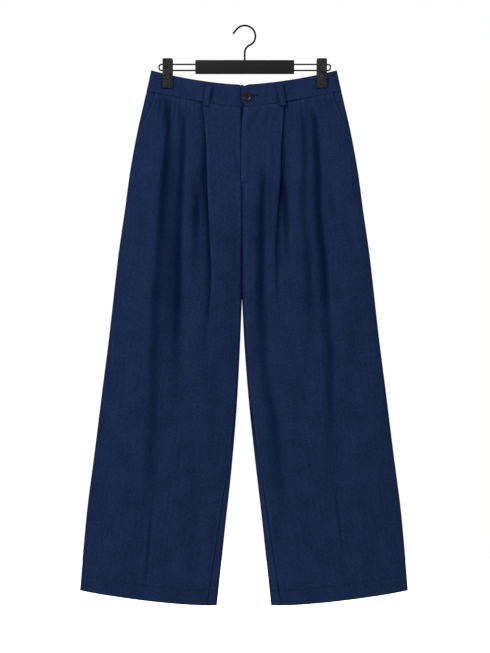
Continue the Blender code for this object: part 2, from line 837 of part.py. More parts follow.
def make_button():
    """A turned disc with a raised rim and four thread holes."""
    outer = BUTTON_THICK / 2
    profile = [
        (0.0, outer - 1.0),
        (BUTTON_RADIUS * 0.55, outer - 1.0),
        (BUTTON_RADIUS * 0.70, outer - 0.2),
        (BUTTON_RADIUS * 0.88, outer),
        (BUTTON_RADIUS, outer - 1.1),
        (BUTTON_RADIUS * 0.93, -outer),
        (0.0, -outer),
    ]
    mesh = bpy.data.meshes.new("button")
    points = [(radius * MM, 0.0, z * MM) for radius, z in profile]
    edges = [(i, i + 1) for i in range(len(points) - 1)]
    mesh.from_pydata(points, edges, [])
    button = link_mesh("button", mesh, PARTS, BUTTON_HORN)
    turned = button.modifiers.new("turned", "SCREW")
    turned.axis = "Z"
    turned.steps = 18
    turned.render_steps = 18
    turned.use_merge_vertices = True
    turned.merge_threshold = 0.00002
    face_y = -(WAIST_DEPTH + SEAM + outer + 0.1)
    button.location = Vector((BUTTON_X + GARMENT_SHIFT, face_y, -BUTTON_DROP)) * MM
    button.rotation_euler = (math.radians(90), 0, 0)
    for index in range(4):
        angle = math.radians(45 + 90 * index)
        x = BUTTON_X + GARMENT_SHIFT + BUTTON_HOLE_SPREAD * math.cos(angle)
        z = -BUTTON_DROP + BUTTON_HOLE_SPREAD * math.sin(angle)
        hole = (x, face_y, z)
        cut_bore(button, f"thread_hole_{index + 1}", hole, (0, 1, 0), BUTTON_HOLE, 8.0)


for leftover in list(bpy.data.objects):
    bpy.data.objects.remove(leftover)

PARTS = make_collection("wide_leg_trousers_on_clip_hanger")
CUTTERS = make_collection("cutters")

CLOTH_NAVY = make_material("navy_cloth", (0.012, 0.022, 0.062), 0.85)
BUTTON_HORN = make_material("dark_horn_button", (0.035, 0.022, 0.014), 0.35)
HANGER_WIRE = make_material("black_wire", (0.012, 0.012, 0.013), 0.35, 0.6)
HANGER_PLASTIC = make_material("black_plastic", (0.016, 0.016, 0.017), 0.45)
CLIP_PLASTIC = make_material("charcoal_plastic", (0.028, 0.028, 0.026), 0.6)

make_panels()
make_waistband()
make_belt_loops()
make_button()
make_hook()
make_bar()
make_rails()
make_clip(LEFT, "left")
make_clip(RIGHT, "right")
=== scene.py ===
# %% [markdown]
# # Wide-leg trousers on a clip hanger
#
# The object is a pair of navy trousers that hang from two clips. The plain solids come first, as a
# frame that fixes every size. This lesson then dresses them: fine cloth with pleats, gathers and
# pressed creases, the sewing, a horn button, and the hanger's wire and clips.

import json
import math
from typing import NamedTuple

import bpy
import numpy as np
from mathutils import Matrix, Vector

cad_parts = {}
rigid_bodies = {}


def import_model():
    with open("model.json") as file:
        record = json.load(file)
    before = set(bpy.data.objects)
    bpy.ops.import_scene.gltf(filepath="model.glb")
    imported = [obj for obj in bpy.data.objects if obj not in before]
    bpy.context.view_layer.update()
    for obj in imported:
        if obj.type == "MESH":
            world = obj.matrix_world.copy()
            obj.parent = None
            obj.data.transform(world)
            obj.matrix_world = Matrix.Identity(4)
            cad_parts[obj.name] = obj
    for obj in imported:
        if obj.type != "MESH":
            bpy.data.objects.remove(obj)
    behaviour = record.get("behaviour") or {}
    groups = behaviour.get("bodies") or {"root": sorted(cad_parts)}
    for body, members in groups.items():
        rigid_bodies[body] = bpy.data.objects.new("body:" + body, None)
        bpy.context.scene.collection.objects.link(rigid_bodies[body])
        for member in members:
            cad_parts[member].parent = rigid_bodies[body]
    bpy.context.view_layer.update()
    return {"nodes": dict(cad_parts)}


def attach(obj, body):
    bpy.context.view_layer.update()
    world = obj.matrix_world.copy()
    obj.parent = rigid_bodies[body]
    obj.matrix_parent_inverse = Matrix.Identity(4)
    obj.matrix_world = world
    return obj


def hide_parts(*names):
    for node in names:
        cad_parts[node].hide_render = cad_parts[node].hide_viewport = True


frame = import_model()
bpy.ops.object.select_all(action="DESELECT")
print("solids in the frame:", len(frame["nodes"]))

# %% [markdown]
# The cloth uses the same heights and widths as the solids, in millimetres. A drop is a distance
# below the hook's arch, read at the centre line. The outer edges sit higher than the centre because
# the clips pull the waistband up: `LIFTS` says by how much at the waist, the seam and the hem.

# %% Sizes of the garment
MM = 0.001
LEFT, RIGHT = -1, 1
FRONT, BACK = -1, 1
SIDES = ((LEFT, "left"), (RIGHT, "right"))

CLOTH = 0.8
BAND_CLOTH = 2.2
WAIST_DROP, SEAM_DROP = 117.0, 162.0
POCKET_DROP, FLY_DROP = 243.0, 315.0
RISE_DROP, CROTCH_DROP = 330.0, 438.0
INSEAM_TURN_DROP, HEM_DROP, HEM_DEPTH = 667.0, 1157.0, 30.0
LIFTS, LIFT_BENDS = (29.2, 33.4, 30.0), (1.6, 1.3, 1.5)
GARMENT_SHIFT, CENTRE_LEAN = -1.5, -4.0
LEAN_START, LEAN_END = 546.0, 960.0
FOLDED_EDGE = 1.5
INSEAM_WRAP = 22.0
POCKET_OPENING, POCKET_FOOT = 18.5, 2.5
PINCH_DEPTH, PINCH_START, WAIST_DEPTH = 2.7, 140.0, 10.0
print("waist to hem at the centre line, mm:", HEM_DROP - WAIST_DROP)

# %% [markdown]
# The outline is a short table that is read as a smooth curve: half the garment's width, half the gap
# between the legs and half the depth at thirteen heights. Whatever has a place on the cloth asks these
# few functions where the cloth is. `ease` and `bell` give most soft changes their shape.


# %% Outline of the legs
class Level(NamedTuple):
    """The outline of the trousers at one height."""

    drop: float
    half_width: float
    gap: float
    depth: float


OUTLINE = [
    Level(117, 185.5, -0.2, 10.0),
    Level(162, 194.6, -0.2, 10.0),
    Level(240, 212.5, -0.2, 15.0),
    Level(320, 227.3, -0.2, 20.0),
    Level(400, 238.3, -0.2, 22.5),
    Level(480, 250.0, -0.2, 23.0),
    Level(535, 256.6, -0.2, 22.7),
    Level(560, 259.4, 0.6, 22.5),
    Level(650, 269.5, 5.0, 21.5),
    Level(760, 283.5, 12.5, 20.5),
    Level(880, 298.5, 24.0, 20.0),
    Level(1000, 314.0, 37.5, 20.0),
    Level(1157, 328.0, 54.0, 21.0),
]


def ease(value):
    """0 to 1 with a soft start and a soft end."""
    t = np.clip(value, 0.0, 1.0)
    return t * t * (3 - 2 * t)


def bell(distance, reach):
    """1 at no distance, falling off softly on both sides."""
    return np.exp(-((distance / reach) ** 2))


def smooth_read(places, values, at):
    """A smooth curve through values at places, read anywhere."""
    places = np.asarray(places, float)
    values = np.asarray(values, float)
    last = len(places) - 1
    before = np.maximum(np.arange(last + 1) - 1, 0)
    after = np.minimum(np.arange(last + 1) + 1, last)
    slopes = (values[after] - values[before]) / (places[after] - places[before])
    at = np.clip(at, places[0], places[-1])
    low = np.clip(np.searchsorted(places, at, side="right") - 1, 0, last - 1)
    span = places[low + 1] - places[low]
    t = (at - places[low]) / span
    return (
        (2 * t**3 - 3 * t**2 + 1) * values[low]
        + (t**3 - 2 * t**2 + t) * slopes[low] * span
        + (3 * t**2 - 2 * t**3) * values[low + 1]
        + (t**3 - t**2) * slopes[low + 1] * span
    )


def outline(column, drop):
    drops = [level.drop for level in OUTLINE]
    return smooth_read(drops, [getattr(level, column) for level in OUTLINE], drop)


def centre_line(drop):
    return CENTRE_LEAN * (1 - ease((drop - LEAN_START) / (LEAN_END - LEAN_START)))


def lift(drop, share):
    """How much higher the cloth sits at a share of the way to its outer edge."""
    in_band = (drop - WAIST_DROP) / (SEAM_DROP - WAIST_DROP)
    below = (drop - SEAM_DROP) / (HEM_DROP - SEAM_DROP)
    height, bend = (
        np.where(drop < SEAM_DROP, top + in_band * (seam - top), seam + below * (hem - seam))
        for top, seam, hem in (LIFTS, LIFT_BENDS))
    return height * np.abs(share) ** bend


def leg_width(side, drop):
    return outline("half_width", drop) - side * centre_line(drop) - outline("gap", drop)


def half_girth(side, drop):
    return leg_width(side, drop) + 2 * FOLDED_EDGE


print("leg width at the hem, mm:", float(leg_width(LEFT, HEM_DROP)))

# %% [markdown]
# A crease is a soft trough that wanders down the cloth. Each one is a short path of points, with how
# deep it is and how far it reaches towards the centre and towards the side seam. A short reach makes
# a steep wall, which the light picks out, and a long reach makes a soft shadow. A negative depth
# makes a ridge.


# %% Creases of the front
class Crease(NamedTuple):
    """A trough down the cloth, in millimetres. Its path is pairs of a drop and a place across."""

    side: int
    depth: float
    inward: float
    outward: float
    spread: float
    fade_in: float
    fade_out: float
    path: tuple


FRONT_CREASES = [
    # The side fold and the short ones next to it, viewer's left
    Crease(LEFT, 5.4, 8.0, 5.5, 1.8, 30, 400, (
        (142, -157.0), (173, -154.0), (220, -152.8), (275, -155.7), (338, -162.0), (401, -166.5),
        (465, -170.0), (559, -176.0), (647, -177.5), (715, -180.0), (805, -184.0), (921, -191.5),
        (1100, -196.0))),
    Crease(LEFT, 2.4, 3.5, 3.5, 1.2, 15, 25, ((180, -148.0), (205, -149.0), (234, -151.2))),
    Crease(LEFT, 5.6, 4.5, 7.0, 1.9, 60, 260, (
        (140, -128.1), (195, -122.0), (259, -121.5), (322, -124.5), (385, -127.5), (465, -130.0),
        (537, -130.0), (625, -133.7), (715, -137.0), (860, -143.1))),
    Crease(LEFT, 3.2, 13.0, 13.0, 1.2, 90, 260, ((195, -138.0), (420, -149.0), (760, -160.0))),
    Crease(LEFT, 2.6, 8.0, 8.0, 1.3, 80, 140, (
        (290, -92.0), (360, -94.5), (440, -95.5), (540, -99.0))),
    # The hollow outside the pleat, viewer's left
    Crease(LEFT, 2.6, 3.5, 6.5, 1.8, 150, 240, (
        (172, -85.3), (259, -78.5), (322, -76.5), (370, -74.1), (465, -68.7), (537, -67.3),
        (625, -76.5), (740, -79.7))),
    Crease(LEFT, 1.5, 6.0, 6.0, 1.2, 60, 160, ((250, -97.0), (400, -94.0), (560, -92.0))),
    Crease(LEFT, 1.8, 4.0, 6.0, 1.0, 40, 60, (
        (262, -81.5), (327, -85.0), (360, -92.0), (430, -96.0))),
    Crease(LEFT, 2.8, 3.2, 4.5, 1.0, 22, 26, (
        (232, -23.5), (254, -17.0), (283, -12.5), (310, -8.5))),
    # Creases that were pressed in, near the hem
    Crease(LEFT, -1.2, 2.2, 6.0, 1.0, 60, 1, ((950, -189.0), (1037, -195.0), (1160, -203.0))),
    Crease(LEFT, 3.6, 2.0, 2.2, 1.0, 60, 70, (
        (945, -184.4), (992, -187.3), (1070, -192.4), (1160, -197.5))),
    Crease(RIGHT, -1.2, 5.0, 2.2, 1.0, 60, 1, (
        (895, 173.6), (975, 183.8), (1037, 192.1), (1160, 207.0))),
    Crease(RIGHT, 3.2, 2.0, 2.2, 1.0, 80, 70, (
        (890, 177.0), (944, 183.0), (1034, 195.2), (1160, 210.0))),
    # Viewer's right, from the fly outwards
    Crease(RIGHT, 5.6, 8.0, 5.0, 2.2, 75, 330, (
        (250, 42.0), (338, 38.5), (385, 36.0), (465, 35.0), (537, 34.5), (625, 37.3),
        (715, 45.0), (781, 57.8), (839, 65.2), (911, 75.0), (965, 82.0), (1080, 88.0))),
    Crease(RIGHT, 1.9, 5.0, 5.0, 1.0, 40, 60, ((290, 50.5), (337, 51.9), (385, 53.5), (420, 54.5))),
    Crease(RIGHT, 3.0, 3.0, 6.5, 1.5, 150, 170, (
        (172, 79.5), (211, 76.2), (259, 74.8), (307, 74.0), (370, 67.6), (465, 63.8), (620, 64.2))),
    Crease(RIGHT, 5.4, 4.5, 5.5, 1.3, 40, 110, (
        (290, 74.0), (340, 81.0), (402, 83.7), (500, 88.0))),
    Crease(RIGHT, 4.0, 6.0, 6.0, 1.9, 50, 280, (
        (160, 117.7), (227, 121.5), (275, 121.5), (338, 118.0), (401, 120.5), (447, 125.9),
        (581, 131.0), (760, 134.0))),
    Crease(RIGHT, 6.0, 8.0, 4.5, 1.8, 45, 330, (
        (146, 134.5), (189, 142.6), (227, 146.3), (275, 148.2), (322, 149.3), (370, 150.3),
        (417, 154.0), (465, 160.0), (581, 166.7), (647, 171.8), (715, 172.5), (990, 174.5))),
    Crease(RIGHT, 1.6, 7.0, 7.0, 1.0, 30, 50, ((320, 177.7), (370, 177.7), (420, 180.0))),
    Crease(RIGHT, 2.4, 3.2, 3.2, 1.0, 12, 30, ((160, 56.5), (182, 48.0), (218, 39.0))),
    Crease(RIGHT, 2.4, 3.0, 3.0, 1.0, 12, 26, ((164, 29.0), (182, 23.5), (208, 17.0))),
    Crease(RIGHT, 2.6, 3.0, 3.0, 1.0, 24, 26, ((178, 14.5), (200, 10.5), (228, 7.5))),
    Crease(RIGHT, 1.6, 5.0, 5.0, 1.0, 40, 50, ((225, 14.0), (262, 10.5), (320, 10.0))),
    Crease(RIGHT, 1.4, 4.0, 4.0, 1.0, 40, 60, ((215, 57.0), (290, 58.5), (340, 57.5))),
    Crease(RIGHT, 1.1, 3.0, 3.0, 1.0, 12, 25, ((165, 68.0), (190, 60.5), (215, 57.5))),
]

FRONT_GATHERS = {
    LEFT: ((-169, 0.7), (-157, 1.0), (-147.5, 1.0), (-137, 1.2), (-128, 0.9), (-115, 0.8),
           (-107, 0.7), (-98, 0.8)),
    RIGHT: ((97, 0.7), (106, 0.8), (114, 1.0), (126, 1.2), (134, 0.8), (149, 1.0), (156, 0.8),
            (167, 0.8), (176, 0.5)),
}
print("creases in front:", len(FRONT_CREASES))

# %% [markdown]
# Nobody sees the back in the one picture there is. Cloth that hangs from the same two clips folds
# much as the front does, so the back gets plain long creases of the same kind, without pleats.

# %% Creases of the back
BACK_CREASES = [
    Crease(LEFT, 4.6, 7.0, 6.0, 1.8, 60, 300, (
        (150, -152.0), (260, -156.0), (420, -164.0), (600, -172.0), (780, -182.0), (940, -186.0))),
    Crease(LEFT, 4.0, 9.0, 6.0, 1.6, 90, 260, (
        (190, -96.0), (320, -88.0), (470, -85.0), (620, -90.0), (760, -95.0))),
    Crease(LEFT, 2.6, 10.0, 12.0, 1.4, 200, 300, (
        (430, -118.0), (620, -124.0), (820, -138.0), (1060, -150.0))),
    Crease(LEFT, 2.6, 7.0, 10.0, 1.3, 70, 120, ((330, -30.0), (440, -44.0), (580, -60.0))),
    Crease(LEFT, -1.4, 2.4, 4.0, 1.0, 60, 1, ((900, -180.0), (1037, -191.5), (1160, -202.0))),
    Crease(RIGHT, 4.8, 7.0, 6.0, 1.8, 60, 300, (
        (150, 148.0), (270, 154.0), (430, 161.0), (600, 170.0), (760, 176.0), (910, 181.0))),
    Crease(RIGHT, 3.8, 9.0, 6.0, 1.6, 90, 260, (
        (200, 94.0), (330, 84.0), (480, 79.0), (640, 84.0), (770, 90.0))),
    Crease(RIGHT, 2.8, 10.0, 12.0, 1.4, 200, 300, (
        (410, 114.0), (600, 120.0), (800, 130.0), (1040, 144.0))),
    Crease(RIGHT, 2.6, 7.0, 10.0, 1.3, 70, 120, ((340, 34.0), (450, 46.0), (600, 66.0))),
    Crease(RIGHT, -1.4, 4.0, 2.4, 1.0, 60, 1, ((900, 176.0), (1037, 195.0), (1160, 210.0))),
]

BACK_GATHERS = {
    LEFT: ((-158, 0.7), (-141, 0.6), (-126, 0.8), (-104, 0.7), (-78, 0.5)),
    RIGHT: ((76, 0.5), (101, 0.8), (122, 0.6), (139, 0.8), (159, 0.7)),
}

print("creases behind:", len(BACK_CREASES))

# %% [markdown]
# The creases of a panel are added up at every place of the cloth. Each is a bell across its path and
# fades in and out along it. Gathers are short bells under the waistband, all alike, and between them
# the seam is finely puckered. Very shallow waves come last, so that no stretch of cloth is quite flat.


# %% Depth of the creases
class Wave(NamedTuple):
    """A shallow wave: its height, its lengths across and down, and how far a start shifts it."""

    height: float
    across: float
    down: float
    shift: float


LOW_EASE, LOW_START, LOW_FADE_IN, LOW_END, LOW_FADE_OUT = 0.32, 480, 200, 900, 60
GATHER_DEPTH, GATHER_REACH, GATHER_RISE, GATHER_FAN = 2.1, 2.5, 34.0, 1500
GATHER_FADE_IN, GATHER_END, GATHER_FADE_OUT = 8, 258, 100
PUCKER_DEPTH, PUCKER_END, PUCKER_FADE = 0.30, 196, 40
FINE_WAVES = (Wave(0.12, 2.6, 60, 0.0),)
SLACK_WAVES = (Wave(0.40, 17.0, 95.0, 1.0), Wave(0.30, 9.5, -140.0, 2.1), Wave(0.18, 31.0, 37.0, 3.3))


def add_waves(waves, x, drop, start=0.0):
    return sum(wave.height * np.sin(x / wave.across + drop / wave.down + wave.shift * start)
               for wave in waves)


def crease_depth(side, face, x, drop):
    """The sum of all the troughs and ridges of one panel, at places x and drop."""
    total = np.zeros_like(x)
    for crease in FRONT_CREASES if face == FRONT else BACK_CREASES:
        if crease.side != side:
            continue
        drops, places = zip(*crease.path)
        middle = smooth_read(drops, places, drop)
        way = np.clip((drop - drops[0]) / (drops[-1] - drops[0]), 0, 1)
        reach = np.where((x - middle) * side > 0, crease.outward, crease.inward)
        reach = reach * (1 + way * (crease.spread - 1))
        fade = ease((drop - drops[0]) / crease.fade_in) * ease((drops[-1] - drop) / crease.fade_out)
        total += crease.depth * fade * bell(x - middle, reach)
    low = ease((drop - LOW_START) / LOW_FADE_IN) * ease((LOW_END - drop) / LOW_FADE_OUT)
    total *= 1 - LOW_EASE * low
    fade = ease((drop - SEAM_DROP + GATHER_RISE) / GATHER_FADE_IN)
    fade = fade * ease((GATHER_END - drop) / GATHER_FADE_OUT)
    for start, depth in (FRONT_GATHERS if face == FRONT else BACK_GATHERS)[side]:
        middle = start * (1 + (drop - SEAM_DROP) / GATHER_FAN)
        total += GATHER_DEPTH * depth * fade * bell(x - middle, GATHER_REACH)
    pucker = PUCKER_DEPTH * np.sin(x / 1.9 + 2.0 * np.sin(x / 23.0)) * np.sin(x / 14.0 + side + face)
    total += pucker * ease((PUCKER_END - drop) / PUCKER_FADE) + add_waves(FINE_WAVES, x, drop)
    return total + add_waves(SLACK_WAVES, x, drop, 1.7 * side + 0.9 * face)


centre = np.zeros(1)
print("depth at the middle of a front, mm:", crease_depth(LEFT, FRONT, centre - 100.0, centre + 600.0))

# %% [markdown]
# One function gives every point of a leg's outer face. `along` is the way round the section from the
# middle of the inner edge, positive over the front and negative over the back. It starts from the
# plain rounded section of the solid and pushes the creases in, but never through to the other side.
# Each point also gets a painted shade: its colour is darkened in folds and along seams and edges,
# and lightened by a painted highlight where an edge catches the light.


# %% The leg's outer face
class EdgeLine(NamedTuple):
    """A thin line beside an edge, as painted shade, painted highlight below 0, or a dent: its weight,
    how far off it is and its reach.
    """

    weight: float
    away: float
    reach: float


OUTER_ROUND, INNER_ROUND, BAND_ROUND, BAND_BLEND = 0.45, 0.40, 0.025, 150.0
CREASE_ROOM = 0.66
FULL_SHADE, DARKEST, LIGHTEST = 5.8, 1.8, -1.0
# Painted lines: positive weights are painted shade, negative ones painted highlights, along edges and
# seams.
INNER_FOLD, INNER_LIGHT = EdgeLine(1.1, 0.0, 2.8), EdgeLine(-0.5, 6.5, 3.0)
OUTER_FOLD = EdgeLine(0.55, 0.0, 2.4)
INSEAM_LINES = EdgeLine(0.75, -0.6, 1.5), EdgeLine(-0.5, 2.9, 1.8), EdgeLine(-0.35, -6.6, 5.0)
BAND_SEAM_LINES = EdgeLine(0.2, 0.0, 1.3), EdgeLine(-0.3, 6.0, 2.6)
HEM_LINES = EdgeLine(0.7, 0.0, 1.5), EdgeLine(0.12, -HEM_DEPTH, 1.3)
INSEAM_SHOWS, INSEAM_FADE, LAP_FADE = 760, 120, 12


def beside(distance, *lines):
    """The painted shade, or the dent, of the lines beside an edge, at a distance from it."""
    return sum(line.weight * bell(distance - line.away, line.reach) for line in lines)


def band_depth(x):
    open_share = np.maximum(0.0, 1 - (x / PINCH_START) ** 2)
    return PINCH_DEPTH + (WAIST_DEPTH - PINCH_DEPTH) * open_share**1.5


def seam_way(drop):
    """How far the inseam has turned onto the front."""
    return INSEAM_WRAP * np.clip((drop - INSEAM_TURN_DROP) / (HEM_DROP - INSEAM_TURN_DROP), 0, 1)


def pocket_way(drop):
    """How far the pocket opening stands in from the side seam."""
    t = np.clip((drop - SEAM_DROP) / (POCKET_DROP - SEAM_DROP), 0, 1)
    way = POCKET_OPENING - (POCKET_OPENING - POCKET_FOOT) * t**2
    return np.where(drop > POCKET_DROP, POCKET_FOOT * ease((POCKET_DROP + 8 - drop) / 8), way)


def fullness(side, drop, share):
    """Middle plane to the cloth, before its creases."""
    depth = outline("depth", drop) - FOLDED_EDGE
    outer = np.clip((share - 1 + OUTER_ROUND) / OUTER_ROUND, 0, 1)
    inner = np.clip((INNER_ROUND - share) / INNER_ROUND, 0, 1)
    rise = np.clip((drop - RISE_DROP) / (CROTCH_DROP - RISE_DROP), 0, 1)
    body = depth * np.sqrt(1 - outer**2) * np.sqrt(1 - (rise * inner) ** 2)
    edge = np.clip((share - 1 + BAND_ROUND) / BAND_ROUND, 0, 1)
    band = band_depth(side * leg_width(side, drop) * share) - FOLDED_EDGE
    band = band * np.sqrt(1 - edge**2)
    return FOLDED_EDGE + band + ease((drop - SEAM_DROP) / BAND_BLEND) * (body - band)


def painted_edge_shade(side, surface, drop, along, width):
    """Painted shade and highlight lines along the folded edges, the inseam, the waistband seam and the
    hem.
    """
    inner = np.abs(along) - FOLDED_EDGE
    lapped = ease((drop - FLY_DROP) / LAP_FADE) if side == RIGHT else 1.0
    shade = lapped * beside(inner, INNER_FOLD) + (surface == FRONT) * beside(inner, INNER_LIGHT)
    turned = ease((drop - INSEAM_SHOWS) / INSEAM_FADE)
    shade = shade + turned * beside(along - seam_way(drop), *INSEAM_LINES)
    ends = beside(drop - SEAM_DROP, *BAND_SEAM_LINES) + beside(drop - HEM_DROP, *HEM_LINES)
    return shade + ends + beside(inner - width, OUTER_FOLD)


def leg_surface(side, drop, along, sink=0.0, lap=0.0, shade=0.0):
    """Points of the leg, sunk inwards: x, y and z in metres, and how much shade is painted on the
    place.

    The painted shade is 1 or more deep in a fold; below 0 it is a painted highlight where an edge
    catches the light. lap carries the row on past the centre line, under the other front.
    """
    drop, along = np.broadcast_arrays(np.asarray(drop, float), np.asarray(along, float))
    surface = np.where(along > 0, FRONT, BACK)
    way = np.abs(along)
    width = leg_width(side, drop)
    distance = np.clip(way - FOLDED_EDGE, 0, width)
    share = distance / width
    x = centre_line(drop) + side * (outline("gap", drop) + distance - lap)
    height = -drop + lift(drop, share)
    depth = fullness(side, drop, share)
    here = np.where(surface == FRONT, crease_depth(side, FRONT, x, -height),
                    crease_depth(side, BACK, x, -height))
    depth = depth - np.minimum(here, CREASE_ROOM * (depth - FOLDED_EDGE)) - sink
    depth = depth - np.maximum(0, FOLDED_EDGE - way) - np.maximum(0, way - FOLDED_EDGE - width)
    # Painted shade from the crease depth and the edge lines, clipped between the painted highlight and
    # shade limits.
    dark = np.maximum(here, 0) / FULL_SHADE + painted_edge_shade(side, surface, drop, along, width) + shade
    dark = np.clip(dark, LIGHTEST, DARKEST) / MM
    return np.stack([x + GARMENT_SHIFT, surface * depth, height, dark], axis=-1) * MM


hem_edge = leg_surface(LEFT, HEM_DROP, half_girth(LEFT, HEM_DROP) / 2)
print("a point of the hem, m, and its shade:", hem_edge)

# %% [markdown]
# Cloth, thread, horn and plastic share a few effects, so each effect is a node group that is built
# once. A group gives a tone from 0 to 1 or a height, and each material decides what to do with it.
# The helpers below only shorten the writing: `add_node` adds a node, `maths`, `mix` and
# `tinted` join values.

# %% Helpers for materials
def add_node(tree, kind, inputs=None, **settings):
    """A node with its settings, and its inputs set to values or linked to sockets."""
    node = tree.nodes.new(kind)
    for name, value in settings.items():
        setattr(node, name, value)
    for name, value in (inputs or {}).items():
        if isinstance(value, bpy.types.NodeSocket):
            tree.links.new(value, node.inputs[name])
        else:
            node.inputs[name].default_value = value
    return node


def maths(tree, operation, first, second=0.0, third=0.0):
    inputs = {0: first, 1: second, 2: third}
    return add_node(tree, "ShaderNodeMath", inputs, operation=operation).outputs[0]


def mix(tree, factor, first, second, blend="MIX"):
    inputs = {0: factor, 6: first, 7: second}
    return add_node(tree, "ShaderNodeMix", inputs, data_type="RGBA", blend_type=blend).outputs[2]


def tinted(tree, colour, tint):
    return mix(tree, 1.0, colour, tint, "MULTIPLY")


def noise(tree, vector, scale, detail=2.0, stretch=(1, 1, 1)):
    moved = add_node(tree, "ShaderNodeMapping", {"Vector": vector, "Scale": stretch}).outputs[0]
    inputs = {"Vector": moved, "Scale": scale, "Detail": detail}
    return add_node(tree, "ShaderNodeTexNoise", inputs).outputs["Fac"]


def start_group(name, numbers, outputs):
    """An empty shader node group, with its entry and its exit."""
    group = bpy.data.node_groups.new(name, "ShaderNodeTree")
    group.interface.new_socket("Vector", in_out="INPUT", socket_type="NodeSocketVector")
    for label, value in numbers.items():
        socket = group.interface.new_socket(label, in_out="INPUT", socket_type="NodeSocketFloat")
        socket.default_value = value
    for label in outputs:
        group.interface.new_socket(label, in_out="OUTPUT", socket_type="NodeSocketFloat")
    return group, group.nodes.new("NodeGroupInput"), group.nodes.new("NodeGroupOutput")


def use(tree, group, vector, outlet, **numbers):
    """An effect placed in a material, read at one of its outputs."""
    node = add_node(tree, "ShaderNodeGroup", node_tree=group)
    tree.links.new(vector, node.inputs["Vector"])
    for label, value in numbers.items():
        node.inputs[label].default_value = value
    return node.outputs[outlet]


def new_material(name):
    material = bpy.data.materials.new(name)
    material.use_nodes = True
    tree = material.node_tree
    coordinates = add_node(tree, "ShaderNodeTexCoord")
    return material, tree, tree.nodes["Principled BSDF"], coordinates


def set_sockets(shader, **values):
    """Values or links for a shader's inputs, whose labels have _ for each space."""
    for label, value in values.items():
        socket = shader.inputs[label.replace("_", " ")]
        if isinstance(value, bpy.types.NodeSocket):
            shader.id_data.links.new(value, socket)
        else:
            socket.default_value = value


def bump(tree, shader, height, distance, strength=1.0):
    inputs = {"Height": height, "Distance": distance, "Strength": strength}
    set_sockets(shader, Normal=add_node(tree, "ShaderNodeBump", inputs).outputs[0])


print("helpers ready")

# %% [markdown]
# Suiting is a plain weave of fine yarn. Two crossed sine waves make the little hills where a yarn
# passes over another, and noise that is drawn out along each yarn makes it thick and thin. Piece-dyed
# cloth is also a little uneven: soft blotches the size of a thumb, and faint streaks along the warp.

# %% Shared effects of cloth
WEAVE, entry, leave = start_group("weave", {"Yarns": 1500.0}, ("Height", "Tone"))
parts = add_node(WEAVE, "ShaderNodeSeparateXYZ", {"Vector": entry.outputs["Vector"]})
turns = maths(WEAVE, "MULTIPLY", entry.outputs["Yarns"], math.pi)
warp = maths(WEAVE, "SINE", maths(WEAVE, "MULTIPLY", parts.outputs["X"], turns))
weft = maths(WEAVE, "SINE", maths(WEAVE, "MULTIPLY", parts.outputs["Y"], turns))
hills = maths(WEAVE, "MULTIPLY_ADD", maths(WEAVE, "MULTIPLY", warp, weft), 0.5, 0.5)
warp_slub = noise(WEAVE, entry.outputs["Vector"], 1.0, 1.0, (1100, 45, 1))
weft_slub = noise(WEAVE, entry.outputs["Vector"], 1.0, 1.0, (45, 1100, 1))
slub = maths(WEAVE, "MULTIPLY_ADD", maths(WEAVE, "ADD", warp_slub, weft_slub), 0.5, 0.0)
WEAVE.links.new(maths(WEAVE, "ADD", hills, slub), leave.inputs["Height"])
WEAVE.links.new(slub, leave.inputs["Tone"])

DYE, entry, leave = start_group("uneven_dye", {}, ("Tone",))
blotch = noise(DYE, entry.outputs["Vector"], 24.0, 3.0)
fleck = noise(DYE, entry.outputs["Vector"], 210.0, 2.0)
streak = noise(DYE, entry.outputs["Vector"], 1.0, 2.0, (190, 9, 1))
tone = maths(DYE, "MULTIPLY_ADD", blotch, 0.26, maths(DYE, "MULTIPLY", fleck, 0.54))
DYE.links.new(maths(DYE, "MULTIPLY_ADD", streak, 0.20, tone), leave.inputs["Tone"])
print("effects of cloth:", WEAVE.name, DYE.name)

# %% [markdown]
# The cloth is a dark navy with no gloss, only a thin bloom of nap. Its tone moves between two navies
# with the dye and the yarns. The `shade` that each sheet carries is painted light and shade, not a
# colour of the cloth: it stands for the light that is lost deep in a fold, where cloth nearly touches
# cloth, and along seams and edges. Up to 1 it pulls the colour down to a blue-black painted shade,
# past 1 nearly to black, and below 0 it is a painted highlight that lifts the colour where a pressed
# edge catches the light.

# %% Cloth and thread
NAVY_DEEP, NAVY_BRIGHT = (0.0047, 0.0116, 0.0366, 1), (0.0109, 0.0241, 0.0720, 1)
FOLD_SHADE_TINT, LIT_TINT = (0.24, 0.40, 0.46, 1), (1.45, 1.36, 1.26, 1)
CORE_SHADE_TINT = (0.15, 0.30, 0.42, 1)
THREAD_DEEP, THREAD_BRIGHT = (0.004, 0.009, 0.028, 1), (0.009, 0.020, 0.058, 1)
CLOTH_FINISH, tree, shader, coordinates = new_material("navy_suiting")
uv = coordinates.outputs["UV"]
dye = use(tree, DYE, uv, "Tone")
yarn = use(tree, WEAVE, uv, "Tone")
tone = maths(tree, "MULTIPLY_ADD", yarn, 1.1, maths(tree, "MULTIPLY_ADD", dye, 2.6, -1.35))
colour = mix(tree, tone, NAVY_DEEP, NAVY_BRIGHT)
